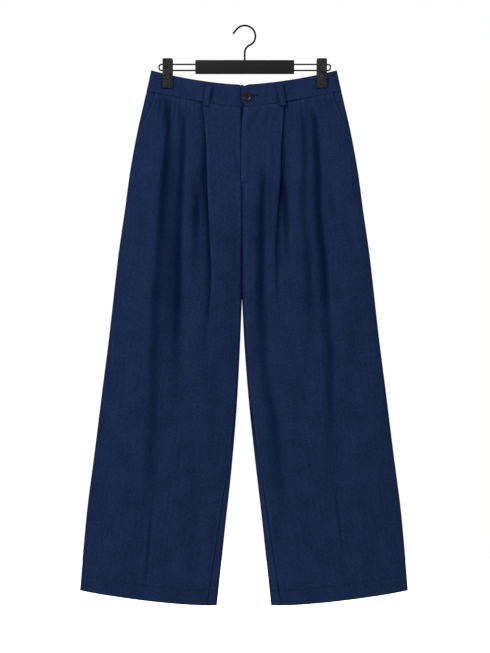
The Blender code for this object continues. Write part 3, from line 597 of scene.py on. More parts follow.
# Painted shade from each sheet's shade attribute: above 0 it darkens the colour, below 0 it is a
# painted highlight.
depth = add_node(tree, "ShaderNodeAttribute", attribute_name="shade").outputs["Fac"]
lit = mix(tree, maths(tree, "MULTIPLY", depth, -1.0), colour, tinted(tree, colour, LIT_TINT))
colour = mix(tree, depth, lit, tinted(tree, colour, FOLD_SHADE_TINT))
colour = mix(tree, maths(tree, "SUBTRACT", depth, 1.0), colour, tinted(tree, colour, CORE_SHADE_TINT))
set_sockets(shader, Base_Color=colour, Roughness=maths(tree, "MULTIPLY_ADD", yarn, 0.2, 0.76),
            Specular_IOR_Level=0.03, Sheen_Weight=0.012, Sheen_Roughness=0.45,
            Sheen_Tint=(0.45, 0.55, 0.85, 1))
bump(tree, shader, use(tree, WEAVE, uv, "Height"), 0.00012, 0.55)

THREAD_FINISH, tree, shader, coordinates = new_material("navy_thread")
twist = {"Vector": coordinates.outputs["Object"], "Scale": 900.0, "Distortion": 2.0}
plies = add_node(tree, "ShaderNodeTexWave", twist).outputs["Fac"]
set_sockets(shader, Base_Color=mix(tree, plies, THREAD_DEEP, THREAD_BRIGHT), Roughness=0.7,
            Specular_IOR_Level=0.03)
bump(tree, shader, plies, 0.00006, 0.5)
print("finishes:", CLOTH_FINISH.name, THREAD_FINISH.name)

# %% [markdown]
# A sheet of cloth is a grid primitive whose vertices are moved to the points of that function. Its
# UV map holds the real distances over the cloth in metres, so a weave drawn in UV space has the
# right size everywhere. Solidify then gives the sheet its thickness on the inner side.

# %% A sheet of cloth
def spans(points):
    """The distances between neighbours, across the sheet and down it."""
    across = np.linalg.norm(np.diff(points, axis=1), axis=2)
    return across, np.linalg.norm(np.diff(points, axis=0), axis=2)


def make_sheet(name, places, outward, thickness, material):
    """A grid of rows x columns moved to places, with their painted shade, and walled inwards."""
    rows, columns = places.shape[:2]
    points, shade = places[..., :3], places[..., 3]
    bpy.ops.mesh.primitive_grid_add(x_subdivisions=columns - 1, y_subdivisions=rows - 1, size=1)
    sheet = bpy.context.object
    sheet.name = name
    mesh = sheet.data
    mesh.name = name
    flat = np.empty(len(mesh.vertices) * 3)
    mesh.vertices.foreach_get("co", flat)
    flat = flat.reshape(-1, 3)
    column = np.rint((flat[:, 0] + 0.5) * (columns - 1)).astype(int)
    row = np.rint((0.5 - flat[:, 1]) * (rows - 1)).astype(int)
    mesh.vertices.foreach_set("co", points[row, column].ravel())
    across, down = spans(points)
    u = np.concatenate([np.zeros((rows, 1)), np.cumsum(across, axis=1)], axis=1)
    v = np.concatenate([np.zeros((1, columns)), np.cumsum(down, axis=0)], axis=0)
    corner = np.empty(len(mesh.loops), dtype=int)
    mesh.loops.foreach_get("vertex_index", corner)
    uv = np.stack([u[row, column], -v[row, column]], axis=1)[corner]
    mesh.uv_layers[0].data.foreach_set("uv", uv.ravel())
    mesh.attributes.new("shade", "FLOAT", "POINT").data.foreach_set("value", shade[row, column])
    mesh.update()
    facing = sum((face.normal * face.area for face in mesh.polygons), Vector())
    if facing.dot(Vector(outward)) < 0:
        mesh.flip_normals()
    mesh.shade_smooth()
    mesh.materials.append(material)
    wall = sheet.modifiers.new("wall", "SOLIDIFY")
    wall.thickness = thickness * MM
    wall.offset = -1
    wall.use_even_offset = False
    bpy.ops.object.modifier_apply(modifier="wall")
    sheet.select_set(False)
    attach(sheet, "root")
    return sheet


def cut_of(places, turned_up=0.0):
    """The flat width, length and area of the cut, in metres, measured over the cloth."""
    across, down = spans(places[..., :3])
    width, length = across.sum(axis=1).max(), down.sum(axis=0).max()
    area = ((across[1:] + across[:-1]) / 2 * (down[:, 1:] + down[:, :-1]) / 2).sum()
    area += turned_up * across[-1].sum()
    return (float(width), float(length + turned_up)), float(area)


def graded(start, stop, first, growth, step):
    """Places from start to stop that begin close together and widen up to an even step."""
    direction = 1 if stop > start else -1
    places, size = [0.0], first
    while places[-1] < abs(stop - start) and size < step:
        places.append(places[-1] + size)
        size *= growth
    rest = abs(stop - start) - places[-1]
    count = max(1, math.ceil(rest / step))
    places += [places[-1] + rest * i / count for i in range(1, count + 1)]
    return [start + direction * place for place in places]


print("graded steps:", len(graded(0, 100, 0.4, 1.5, 3.2)))

# %% [markdown]
# Every panel's rows start at the waistband seam and end at the hem. They lie close together at the
# seam, where the cloth is gathered, and round the stitch line of the turned-up hem.

# %% Rows and columns
STITCH_DROP = HEM_DROP - HEM_DEPTH
STITCH_DENT, HEM_SWELL = 0.35, 0.45
ROW_STEP = 5.0
EDGE_STEPS = (0.0, 0.35, 0.8, 1.6, 3.0, 5.5, 8.5)
FROM_STITCHES = (-1.4, -0.5, 0.0, 0.6, 1.6, 5.0, 11.0, 17.0, 22.0)
FROM_HEM = (-4.0, -2.0, -1.0, -0.4, 0.0)


def panel_rows():
    leg = graded(SEAM_DROP, STITCH_DROP - 3, 0.6, 1.18, ROW_STEP)
    foot = [STITCH_DROP + step for step in FROM_STITCHES] + [HEM_DROP + step for step in FROM_HEM]
    return np.array(leg + foot)


def from_edge(start, stop, count):
    """Columns for every row: close together at start, then even up to stop."""
    direction = np.sign(stop - start)
    near = [start + direction * step for step in EDGE_STEPS]
    even = [near[-1] + (stop - near[-1]) * i / count for i in range(1, count + 1)]
    return near + even


def roll(distance, depth=0.7, reach=0.9):
    """How far cloth turns in along a sewn or folded edge."""
    return depth * bell(distance, reach)


def row_sink(drop):
    """The roll and the swell at the waistband seam, the hem's stitch line and its doubled cloth."""
    seam = roll(drop - SEAM_DROP, 0.8, 1.2) - roll(drop - SEAM_DROP - 6, 0.45, 3.2)
    doubled = roll(drop - STITCH_DROP, STITCH_DENT, 1.1) - HEM_SWELL * ease((drop - STITCH_DROP) / 2)
    return seam + doubled + roll(HEM_DROP - drop, 0.6, 0.8)


ROWS = panel_rows()
print("rows in a panel:", len(ROWS))

# %% [markdown]
# The pleat is a real fold. The cloth runs outwards to the fold's edge, doubles back under itself and
# runs outwards again, so there are three layers at the waistband. The doubled part narrows down the
# leg until the pleat has opened out. Each station below says where the cloth is when folded, where
# it would be when open, how deep it lies, and how much shade is painted on it in the fold's gap, or
# below 0 how much highlight is painted on the fold's edge.


# %% Pleats
class Station(NamedTuple):
    """One column of the fold, measured from the fold's edge."""

    folded: float
    flat: float
    sink: float
    shade: float


UNDERLAY = 13.0
# The shade column is painted shade in the fold's gap, and below 0 a painted highlight on its edge.
PLEAT_STATIONS = [
    Station(-3.4, -3.4, -0.10, -0.35),
    Station(-1.7, -2.4, 0.05, -0.45),
    Station(-0.6, -1.5, 0.40, -0.2),
    Station(0.0, -0.8, 0.95, 0.7),
    Station(-0.4, -0.3, 1.55, 1.0),
    Station(-1.4, 0.2, 1.85, 1.0),
    Station(-UNDERLAY / 2, 0.7, 1.90, 1.0),
    Station(-UNDERLAY + 0.7, 1.2, 1.95, 1.0),
    Station(-UNDERLAY, 1.6, 2.45, 1.0),
    Station(-UNDERLAY + 0.9, 2.0, 2.95, 1.0),
    Station(-UNDERLAY / 2, 2.5, 3.00, 1.0),
    Station(-1.0, 3.0, 3.00, 1.0),
    Station(1.2, 3.6, 2.90, 0.95),
]
PLEAT_DROPS = (162.0, 240.0, 315.0, 400.0, 523.0, 620.0, 740.0, 940.0, 1157.0)
PLEAT_X = {
    LEFT: (-84.6, -77.4, -75.6, -71.4, -68.0, -79.0, -83.5, -96.0, -116.0),
    RIGHT: (79.4, 73.8, 71.4, 64.6, 63.5, 63.8, 68.5, 88.0, 114.0),
}
PLEAT_END = {LEFT: 720.0, RIGHT: 610.0}
PLEAT_FADE = 330.0


def pleat_along(side, drop):
    """Where the pleat's folded edge runs, as a way round the front from the inner edge."""
    x = smooth_read(PLEAT_DROPS, PLEAT_X[side], drop)
    inner = centre_line(drop) + side * outline("gap", drop)
    return side * (x - GARMENT_SHIFT - inner) + FOLDED_EDGE


def pleat_share(side, drop):
    """1 where the pleat is fully folded and 0 where it has opened out."""
    return ease((PLEAT_END[side] - drop) / PLEAT_FADE)


print("pleats at the waistband, mm from the centre:", [places[0] for places in PLEAT_X.values()])

# %% [markdown]
# A front panel has three stretches of columns. Along the fly, the viewer's left front runs on under
# the other and sinks towards it, and the right one is the raised lap, whose top swings over the
# centre. The pleat's stations come next, and then the open cloth as far as the pocket's edge, pressed
# down a little by the pleat above it. Painted shade darkens the cloth beside the lap's edge, in the
# pleat's gap and at the pocket's stitches, and a painted highlight lightens the lap's edge and the
# pocket's edge.


# %% Front panels
class Column(NamedTuple):
    """A column of a sheet, with a number for every row."""

    way: np.ndarray
    sink: np.ndarray = 0.0
    lap: np.ndarray = 0.0
    shade: np.ndarray = 0.0


class UnderEdge(NamedTuple):
    """A column hidden under the lap: its place where the fly has ended, and how far it laps."""

    place: float
    lap: float


UNDER_EDGES = (UnderEdge(0.0, 12.0), UnderEdge(0.5, 7.0), UnderEdge(1.0, 2.5))
# UNDER_DARK and CORNER_DARK are painted shade beside the lap's edge; LAP_LIGHT and POCKET_LIGHT are
# painted highlights; POCKET_STITCHES is both a dent and a painted dark line.
UNDER_SINK, UNDER_DARK, CORNER_DARK = 1.6, EdgeLine(1.0, 1.0, 3.2), EdgeLine(0.5, 0.0, 12)
FLY_ROW, FLY_FADE, POCKET_ROW = 20.0, 16.0, 5.0
FLY_SWING, FLY_SWING_DROP, FLY_LEAN, FLY_LEAN_DROP = 4.0, SEAM_DROP + 4, 1.5, 185
LAP_WIDTH, LAP_RISE, LAP_FALL = 34.0, 0.9, 6.0
LAP_STITCHES, LAP_LIGHT = EdgeLine(0.3, FLY_ROW, 1.0), EdgeLine(-0.4, 3.2, 1.8)
POCKET_STITCHES, POCKET_LIGHT = EdgeLine(0.25, POCKET_ROW, 0.9), EdgeLine(-0.6, 1.6, 1.4)
DARK_DROP, DARK_REACH = 290.0, 80.0
PLEAT_REACH, PLEAT_SHADOW = 16.0, 4.0


def fly_share(drop):
    """1 where the fronts lap and 0 below the fly."""
    return ease((FLY_DROP + FLY_FADE / 2 - drop) / FLY_FADE)


def left_fly(drop, stop):
    """The viewer's left front, from its end under the lap to the pleat."""
    fly, start = fly_share(drop), seam_way(drop)
    columns = [Column(start + edge.place * (1 - fly) + FOLDED_EDGE * fly, 1.3 * fly, edge.lap * fly)
               for edge in UNDER_EDGES]
    # Painted shade beside the lap's edge, darker near the waistband seam.
    dark = (0.8 + beside(drop - SEAM_DROP, CORNER_DARK)) * fly
    for way in from_edge(start, stop, 24)[len(UNDER_EDGES):-1]:
        sink = UNDER_SINK * fly * bell(way - FOLDED_EDGE, 8) + roll(way - start, 0.7) * (1 - fly)
        columns.append(Column(way, sink, 0.0, dark * beside(way - FOLDED_EDGE, UNDER_DARK)))
    return columns


def right_fly(drop, stop):
    """The viewer's right front, from the lap's edge to the pleat."""
    fly, start = fly_share(drop), seam_way(drop)
    swing = FLY_SWING * bell(drop - FLY_SWING_DROP, 15)
    swing = swing - FLY_LEAN * fly * ease((drop - FLY_LEAN_DROP) / 80)
    columns = []
    for way in from_edge(start, stop, 20)[:-1]:
        rise = LAP_RISE * ease((LAP_WIDTH - way) / LAP_FALL) - beside(way, LAP_STITCHES)
        sink = roll(way - start, 0.7) * (1 - fly) - rise * fly
        # The last number is a painted highlight along the lap's folded edge.
        columns.append(Column(way, sink, -swing * np.exp(-way / 9), fly * beside(way, LAP_LIGHT)))
    return columns


def front_columns(side, drop):
    """Every column of a front panel, as four arrays: the ways, the sinks, the laps and the painted
    shades.
    """
    pleat, share = pleat_along(side, drop), pleat_share(side, drop)
    # Painted shade in the pleat's gap, darkest around DARK_DROP.
    dark = share * (1 + 0.8 * bell(drop - DARK_DROP, DARK_REACH))
    first, last = PLEAT_STATIONS[0], PLEAT_STATIONS[-1]
    columns = (left_fly if side == LEFT else right_fly)(drop, pleat + first.flat)
    for station in PLEAT_STATIONS:
        place = station.flat + share * (station.folded - station.flat)
        columns.append(Column(pleat + place, station.sink * share, 0.0, station.shade * dark))
    stop = half_girth(side, drop) - pocket_way(drop)
    in_pocket = pocket_way(drop) > POCKET_FOOT * 0.5
    for way in from_edge(stop, pleat + last.flat, 42)[-2::-1]:
        sink = last.sink * share * np.exp(-np.maximum(way - pleat, 0) / PLEAT_REACH)
        sink = sink + np.where(in_pocket, roll(stop - way, 0.5, 0.7) - 0.25, roll(stop - way, 0.7))
        # The stitch row is a dent and a painted dark line; the pocket's edge gets a painted highlight,
        # and the cloth beside the pleat a painted shadow.
        sewn_line = in_pocket * beside(stop - way, POCKET_STITCHES)
        shade = 0.9 * dark * np.exp(-np.maximum(way - pleat - 2, 0) / PLEAT_SHADOW)
        shade = shade + in_pocket * beside(stop - way, POCKET_LIGHT)
        columns.append(Column(way, sink + sewn_line, 0.0, shade + sewn_line))
    whole = [np.stack([number + 0 * drop for number in column]) for column in columns]
    return np.stack(whole, axis=-1)


def front_points(side):
    """The points of a front panel. A way of 0 or less would lie on the back, so none is."""
    ways, sinks, laps, shades = front_columns(side, ROWS)
    drop = ROWS[:, None]
    return leg_surface(side, drop, np.maximum(ways, 0.02), sinks + row_sink(drop), laps, shades)


print("columns in a front:", front_columns(LEFT, ROWS)[0].shape[1])

# %% [markdown]
# The back panel starts at the side seam. Below the knee it goes on round the inner edge, because the
# inseam has swung onto the front there, as the photo shows. The pocket facing is the strip that shows
# between the slant pocket's edge and the side seam, and it runs on under the front.

# %% Backs and pocket facings
FLAT_CORNER = (-12, -9, -6.5, -4.5, -3, -2.2, -1.7, -1.3, -1.0, -0.7, -0.45, -0.2, -0.1, 0)
TURNED_CORNER = (-11, -7, -4, -2.4, -1.6, -1.1, -0.5, 0.3, 1.0)
TURNED_SHARES = (0.12, 0.35, 0.65, 0.88, 1.0)
FACING_UNDER, FACING_SINK, FACING_DARK = 8.0, 1.1, EdgeLine(0.8, 8.6, 1.3)


def back_points(side):
    side_edge, stop = -half_girth(side, ROWS), seam_way(ROWS)
    turned = np.clip(stop / 8, 0, 1)
    ways = from_edge(side_edge, -16.0 + 0 * ROWS, 62)
    round_edge = [place + 0 * ROWS for place in TURNED_CORNER]
    round_edge += [1.6 + share * (stop - 1.6) for share in TURNED_SHARES]
    for flat, other in zip(FLAT_CORNER, round_edge):
        ways.append(flat + turned * (other - flat))
    ways = np.stack(ways, 1)
    sink = row_sink(ROWS[:, None]) + roll(ways - side_edge[:, None], 0.7)
    sink += roll(stop[:, None] - ways, 0.7) * turned[:, None]
    return leg_surface(side, ROWS[:, None], ways, sink)


def facing_points(side):
    drop = ROWS[ROWS <= POCKET_DROP + 8]
    stop = half_girth(side, drop)
    start = stop - pocket_way(drop) - FACING_UNDER
    ways = [start + (stop - start) * share for share in np.linspace(0, 0.97, 26)]
    ways += [stop - 0.35, stop]
    ways = np.stack(ways, 1)
    start, stop, drop = start[:, None], stop[:, None], drop[:, None]
    sink = FACING_SINK * (1 - ease((ways - stop + 3) / 3)) + roll(stop - ways, 0.7)
    sink = sink + roll(drop - SEAM_DROP)
    # A painted shadow line on the facing, just beside the edge of the front above it.
    return leg_surface(side, drop, ways, sink, 0.0, beside(ways - start, FACING_DARK))


CUTS = {}
for side, word in SIDES:
    for node, places, face in (
        (f"front_{word}", front_points(side), FRONT),
        (f"back_{word}", back_points(side), BACK),
        (f"pocket_facing_{word}", facing_points(side), FRONT),
    ):
        panel = make_sheet(f"{node}_cloth", places, (0, face, 0), CLOTH, CLOTH_FINISH)
        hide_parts(node)
        CUTS[panel.name] = cut_of(places, 0 if "pocket" in node else HEM_DEPTH * MM)
        print(node, "faces:", len(panel.data.polygons), "cut, m:", CUTS[panel.name])

# %% [markdown]
# The waistband is measured from the centre line outwards. Both top edges dip a little at the middle:
# `NOTCHES` has the width and the depth of each dip. Painted shadow darkens the cloth round the foot
# of each clip and right beside each belt loop, so the loops' places are listed here too. Painted
# shade also runs along the top edge, the side edges and above the seam, with a painted highlight
# just under the top edge.

# %% The waistband's outer face
NOTCH_X, TOP_ZONE = 1.0, 22.0
NOTCHES = {FRONT: (9.0, 3.2), BACK: (15.3, 4.4)}
CLIP_X, CLIP_WIDTH, CLIP_FOOT_DROP = 154.0, 20.8, 123.0
LOOP_CLOTH, LOOP_WIDTH, LOOP_TOP_DROP, LOOP_BELOW_SEAM = 1.2, 14.0, WAIST_DROP + 7.0, 8.0
LOOP_FOOT_DROP = SEAM_DROP + LOOP_BELOW_SEAM
LOOP_STAND, LOOP_LEAN, LOOP_FLARE = 1.3, 6.7, 0.03
# Painted shade lines of the waistband: dark along the top, a painted highlight under it, dark above the
# seam and at the side, and painted shadows beside the loops and round the clips.
TOP_LINES = EdgeLine(0.95, 0.0, 2.2), EdgeLine(-0.3, 4.5, 1.8)
FOOT_LINE, SIDE_LINE = EdgeLine(0.15, 0.0, 1.1), EdgeLine(0.55, 0.0, 2.2)
LOOP_PAINTED_SHADOW, CLIP_PAINTED_SHADOW = EdgeLine(0.9, 0.6, 1.3), EdgeLine(1.1, 0.0, 2.0)
BAND_WAVES = Wave(0.22, 13, 21, 1.0), Wave(0.12, 5.3, -11, 0.0)


class Loop(NamedTuple):
    """A belt loop, and how far from the centre line its top is."""

    name: str
    side: int
    face: int
    distance: float


LOOPS = [
    Loop("front_left", LEFT, FRONT, 66),
    Loop("front_right", RIGHT, FRONT, 75),
    Loop("back_left", LEFT, BACK, 88),
    Loop("back_middle", RIGHT, BACK, 1.5),
    Loop("back_right", RIGHT, BACK, 96),
]


def loop_middle(loop, drop):
    """How far from the centre line a belt loop's middle is at a drop: the loops lean outwards."""
    return loop.distance + LOOP_LEAN * (drop - LOOP_TOP_DROP) / (LOOP_FOOT_DROP - LOOP_TOP_DROP)


def top_zone(drop):
    """1 at the waistband's top edge and 0 from the middle of its height."""
    return ease((WAIST_DROP + TOP_ZONE - drop) / TOP_ZONE)


def band_surface(side, face, drop, way, sink=0.0, shade=0.0):
    """Points of the waistband's outer face, way being measured from the centre line outwards."""
    drop, way = np.broadcast_arrays(np.asarray(drop, float), np.asarray(way, float))
    reach = outline("half_width", drop) - side * CENTRE_LEAN
    distance = np.minimum(way, reach)
    x = CENTRE_LEAN + side * distance
    depth = band_depth(x) - np.maximum(0, way - reach) - sink
    depth = depth - add_waves(BAND_WAVES, x, drop, face) * ease((reach - way) / 12)
    width, dip = NOTCHES[face]
    notch = dip * (1 - ease(np.abs(x - NOTCH_X) / (width / 2)))
    height = -drop + lift(drop, distance / reach) - notch * top_zone(drop)
    x = x + GARMENT_SHIFT
    # Painted shade along the top edge, above the seam and at the side, with a painted highlight under
    # the top.
    dark = beside(drop - WAIST_DROP, *TOP_LINES) + beside(SEAM_DROP - drop, FOOT_LINE)
    dark = dark + beside(reach - way, SIDE_LINE) + shade
    # Painted shadow beside each belt loop.
    for loop in LOOPS:
        if loop.side == side and loop.face == face:
            off_loop = np.abs(way - loop_middle(loop, drop)) - LOOP_WIDTH / 2
            dark = dark + beside(off_loop, LOOP_PAINTED_SHADOW) * ease((drop - LOOP_TOP_DROP + 2) / 3)
    # Painted shadow round the foot of each clip.
    off_clip = np.hypot(np.maximum(np.abs(np.abs(x) - CLIP_X) - CLIP_WIDTH / 2, 0),
                        np.maximum(-height - CLIP_FOOT_DROP, 0))
    dark = np.clip(dark + beside(off_clip, CLIP_PAINTED_SHADOW), LIGHTEST, DARKEST) / MM
    return np.stack([x, face * depth, height, dark], axis=-1) * MM


print("top of the waistband at the middle and a side, m:", band_surface(
    LEFT, FRONT, WAIST_DROP, np.array([0.0, 180.0]))[:, 2])

# %% [markdown]
# The waistband is three stiff strips. The viewer's right one ends in the flap with the buttonhole,
# whose edge slants to the fly, and the left one runs on under it, with painted shadow beside the
# flap. All edges are rolled, and the thin dark line along the top is partly that roll and partly
# painted shade.

# %% Waistband
FLAP_END, FLAP_SLANT, SLANT_DROP, SLANT_LENGTH = -1.4, 5.4, 144.0, 17.0
UNDERLAP_SINK, UNDERLAP_DIP, UNDERLAP_WAYS = 2.9, 2.0, (-30, -20, -10)
BESIDE_FLAP, BESIDE_SLANT = EdgeLine(1.1, 0.6, 2.1), EdgeLine(1.7, 0.6, 3.2)
BAND_MIDDLE = (WAIST_DROP + SEAM_DROP) / 2
TOP_ROWS, FOOT_ROWS = (graded(end, BAND_MIDDLE, 0.35, 1.5, 3.0) for end in (WAIST_DROP, SEAM_DROP))
BAND_ROWS = np.array(TOP_ROWS[:-1] + FOOT_ROWS[::-1])
BAND_DROP = BAND_ROWS[:, None]
BAND_EDGES = roll(BAND_DROP - WAIST_DROP, 1.0, 0.8) + roll(SEAM_DROP - BAND_DROP, 0.6, 0.9)


def slant(drop):
    """How far the flap's end has slanted, from 0 to 1."""
    return ease((drop - SLANT_DROP) / SLANT_LENGTH)


def outer_ways(side, start, count):
    """Columns from start round the folded side edge to the middle plane."""
    reach = outline("half_width", BAND_ROWS) - side * CENTRE_LEAN
    ways = [start + (reach - start) * i / count for i in range(count + 1)]
    return ways + [reach + step for step in (0.9, 1.8, PINCH_DEPTH)]


def flap_points():
    """The viewer's right front of the band, from the flap's slanting end outwards."""
    end = FLAP_END + FLAP_SLANT * slant(BAND_ROWS)
    ways = np.stack([end + step for step in EDGE_STEPS] + outer_ways(RIGHT, 15.0, 61), 1)
    sink = roll(ways - end[:, None], 1.2, 0.8) + BAND_EDGES
    return band_surface(RIGHT, FRONT, BAND_DROP, ways, sink)


def underlap_points():
    """The viewer's left front of the band, whose end sinks and passes under the flap."""
    hidden = [way + 0 * BAND_ROWS for way in UNDERLAP_WAYS]
    ways = np.stack(hidden + outer_ways(LEFT, -4.0, 64), 1)
    sink = UNDERLAP_SINK * ease((12 - ways) / 8) + BAND_EDGES
    slanted = slant(BAND_DROP)
    # Painted shadow on the underlap beside the flap's edge, wider and darker where the edge slants.
    weight, away, reach = (
        upright + slanted * (slanting - upright)
        for upright, slanting in zip(BESIDE_FLAP, BESIDE_SLANT))
    shade = weight * bell(ways + FLAP_END + FLAP_SLANT * slanted - away, reach)
    shade = shade * ease((BAND_DROP - WAIST_DROP - 2) / 8)
    points = band_surface(LEFT, FRONT, BAND_DROP, ways, sink, shade)
    points[..., 2] -= UNDERLAP_DIP * ease((6 - ways) / 6) * top_zone(BAND_DROP) * MM
    return points


def back_band_points():
    """The back of the band in one piece, from the viewer's left to the right."""
    left = np.stack(outer_ways(LEFT, 2.0, 62), 1)[:, ::-1]
    right = np.stack(outer_ways(RIGHT, 0.0, 62), 1)
    halves = [band_surface(side, BACK, BAND_DROP, ways, BAND_EDGES)
              for side, ways in ((LEFT, left), (RIGHT, right))]
    return np.concatenate(halves, axis=1)


BAND_PIECES = [
    ("waistband_front_right", flap_points(), FRONT),
    ("waistband_front_left", underlap_points(), FRONT),
    ("waistband_back", back_band_points(), BACK),
]
for node, points, face in BAND_PIECES:
    band = make_sheet(f"{node}_cloth", points, (0, face, 0), BAND_CLOTH, CLOTH_FINISH)
    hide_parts(node)
    CUTS[band.name] = cut_of(points)
    print(node, "faces:", len(band.data.polygons), "cut, m:", CUTS[band.name])

# %% [markdown]
# A belt loop is a folded strip, stitched near both long edges. It lies on the band at its two ends
# and stands a little off it between them. Its section is slightly cushioned, with a dent along each
# row of stitches.


# %% Belt loops
LOOP_BODY, LOOP_STITCH, LOOP_DENT, LOOP_LENGTH = 2.1, 0.33, 0.28, 55.0
# Painted shade along the loop's rims and at its foot, and a painted highlight beside each row of
# stitches.
RIM_LINE, FOOT_EDGE_LINE = EdgeLine(1.0, 0.0, 1.2), EdgeLine(1.2, 0.0, 2.075)
STITCH_LIGHT = EdgeLine(-0.35, 0.38, 0.07)


def loop_surface(loop, share, offset, sink=0.0):
    """Points of a belt loop's outer face: share down its length, offset across its width."""
    share, offset = np.broadcast_arrays(np.asarray(share, float), np.asarray(offset, float))
    drop = LOOP_TOP_DROP + share * (LOOP_FOOT_DROP - LOOP_TOP_DROP)
    below = np.maximum(0.0, drop - SEAM_DROP)
    points = band_surface(loop.side, loop.face, drop - below,
                          loop_middle(loop, drop) + offset * LOOP_WIDTH)
    # The loop's own painted shade: dark rims and foot, light beside the stitches.
    off_edge = (0.5 - np.abs(offset)) * LOOP_WIDTH
    dark = beside(off_edge, RIM_LINE) + beside((1 - share) * LOOP_LENGTH, FOOT_EDGE_LINE)
    points[..., 3] = np.clip(dark + beside(np.abs(offset), STITCH_LIGHT), LIGHTEST, 1)
    stand = LOOP_STAND * np.sin(math.pi * np.clip(share, 0, 1)) ** 0.7
    dents = roll(np.abs(offset) - LOOP_STITCH, LOOP_DENT, 0.05) + roll(off_edge, 0.55, 0.7)
    out = LOOP_BODY + stand + LOOP_FLARE * below - dents - sink
    points[..., 1] += loop.face * out * MM
    points[..., 2] -= below * MM
    return points


NEAR_END = [0.0, 0.006, 0.016, 0.04, 0.08]
LOOP_SHARES = np.array(NEAR_END + list(np.linspace(0.12, 0.88, 22))
                       + [1 - share for share in reversed(NEAR_END)])[:, None]
HALF_LOOP = np.array([0.08, 0.18, 0.26, 0.3, 0.33, 0.36, 0.4, 0.45, 0.48, 0.5])
LOOP_OFFSETS = np.concatenate([-HALF_LOOP[::-1], [0.0], HALF_LOOP])[None, :]
for loop in LOOPS:
    ends = sum(roll(share * LOOP_LENGTH, 0.6, 0.7) for share in (LOOP_SHARES, 1 - LOOP_SHARES))
    points = loop_surface(loop, LOOP_SHARES, LOOP_OFFSETS, ends)
    name = f"belt_loop_{loop.name}"
    strip = make_sheet(f"{name}_cloth", points, (0, loop.face, 0), LOOP_CLOTH, CLOTH_FINISH)
    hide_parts(name)
    CUTS[strip.name] = cut_of(points)
print("belt loops:", len(LOOPS))

# %% [markdown]
# Stitches are short lengths of thread. One stitch is a six-sided capsule of twenty faces, laid along
# a line over the cloth again and again. They tell the eye how big the garment is, so their pitch is
# a real one: about three stitches to the centimetre.

# %% A row of stitches
CAPSULE = ((-0.5, 0.35), (-0.36, 1.0), (0.36, 1.0), (0.5, 0.35))
CAPSULE_SIDES = 6
STITCH_LENGTH, STITCH_PITCH, STITCH_THICK = 2.5, 3.3, 0.5


def along_line(line, pitch):
    """Places and directions at an even pitch along a line of points, in metres."""
    steps = np.linalg.norm(np.diff(line, axis=0), axis=1)
    way = np.concatenate([[0], np.cumsum(steps)])
    stops = np.arange(pitch / 2, way[-1], pitch)
    behind, middle, ahead = (
        np.stack([np.interp(stops + shift, way, line[:, i]) for i in range(3)], 1)
        for shift in (-pitch / 4, 0, pitch / 4))
    direction = ahead - behind
    return middle, direction / np.linalg.norm(direction, axis=1, keepdims=True)


def capsules(middles, directions, outward, length, thick):
    """Corners and faces of one thread capsule at every place."""
    beam = np.cross(directions, outward)
    beam /= np.linalg.norm(beam, axis=1, keepdims=True)
    up = np.cross(beam, directions)
    corners, faces = [], []
    for ring, (place, width) in enumerate(CAPSULE):
        for i in range(CAPSULE_SIDES):
            angle = 2 * math.pi * i / CAPSULE_SIDES
            across = math.cos(angle) * beam + 0.8 * math.sin(angle) * up
            corners.append(middles + directions * place * length + across * width * thick / 2)
            if ring:
                near, far = (ring - 1) * CAPSULE_SIDES, ring * CAPSULE_SIDES
                after = (i + 1) % CAPSULE_SIDES
                faces.append((near + i, near + after, far + after, far + i))
    last = (len(CAPSULE) - 1) * CAPSULE_SIDES
    faces.append(tuple(reversed(range(CAPSULE_SIDES))))
    faces.append(tuple(last + i for i in range(CAPSULE_SIDES)))
    return np.stack(corners, 1), faces


def make_stitches(name, rows, length=STITCH_LENGTH, thick=STITCH_THICK):
    """One piece of many stitches: rows holds middles, directions and the way outwards."""
    points, faces = [], []
    for middles, directions, outward in rows:
        outward = np.broadcast_to(np.asarray(outward, float), middles.shape)
        lifted = middles + outward * thick * 0.22 * MM
        corners, pattern = capsules(lifted, directions, outward, length * MM, thick * MM)
        for stitch in corners:
            start = len(points)
            points.extend(map(tuple, stitch))
            faces.extend(tuple(start + corner for corner in face) for face in pattern)
    mesh = bpy.data.meshes.new(name)
    mesh.from_pydata(points, [], faces)
    mesh.materials.append(THREAD_FINISH)
    mesh.shade_smooth()
    piece = bpy.data.objects.new(name, mesh)
    bpy.context.collection.objects.link(piece)
    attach(piece, "root")
    print(name, "stitches:", sum(len(row[0]) for row in rows))
    return piece


def sewn(line, outward, pitch=STITCH_PITCH):
    """A row for make_stitches, along a line of points."""
    middles, directions = along_line(np.asarray(line)[..., :3].reshape(-1, 3), pitch * MM)
    return middles, directions, outward


TOWARDS = {FRONT: (0, -1, 0), BACK: (0, 1, 0)}

# %% [markdown]
# The hem is turned up 30 mm and sewn with one row all round each leg. The pocket edges have a row
# inside the slant, the fly has its curved row, and a dense bar tack closes the foot of the fly.

# %% Sewing on the legs
def hem_row(side):
    """The hem's stitches, once round the leg, with the way outwards at each."""
    reach = float(half_girth(side, STITCH_DROP))
    ways = np.linspace(-reach, reach, 400)
    line = leg_surface(side, STITCH_DROP, ways, STITCH_DENT)[:, :3]
    middles, directions = along_line(line, STITCH_PITCH * MM)
    outward = np.stack([directions[:, 1], -directions[:, 0], 0 * middles[:, 0]], 1)
    flip = np.where((outward[:, 1] * middles[:, 1]) < 0, -1.0, 1.0)[:, None]
    return middles, directions, outward * flip


def pocket_row(side):
    """The row of stitches inside a slant pocket's edge."""
    drops = np.linspace(SEAM_DROP + 1, POCKET_DROP - 2, 40)
    ways = half_girth(side, drops) - pocket_way(drops) - POCKET_ROW
    return sewn(leg_surface(side, drops, ways), TOWARDS[FRONT])


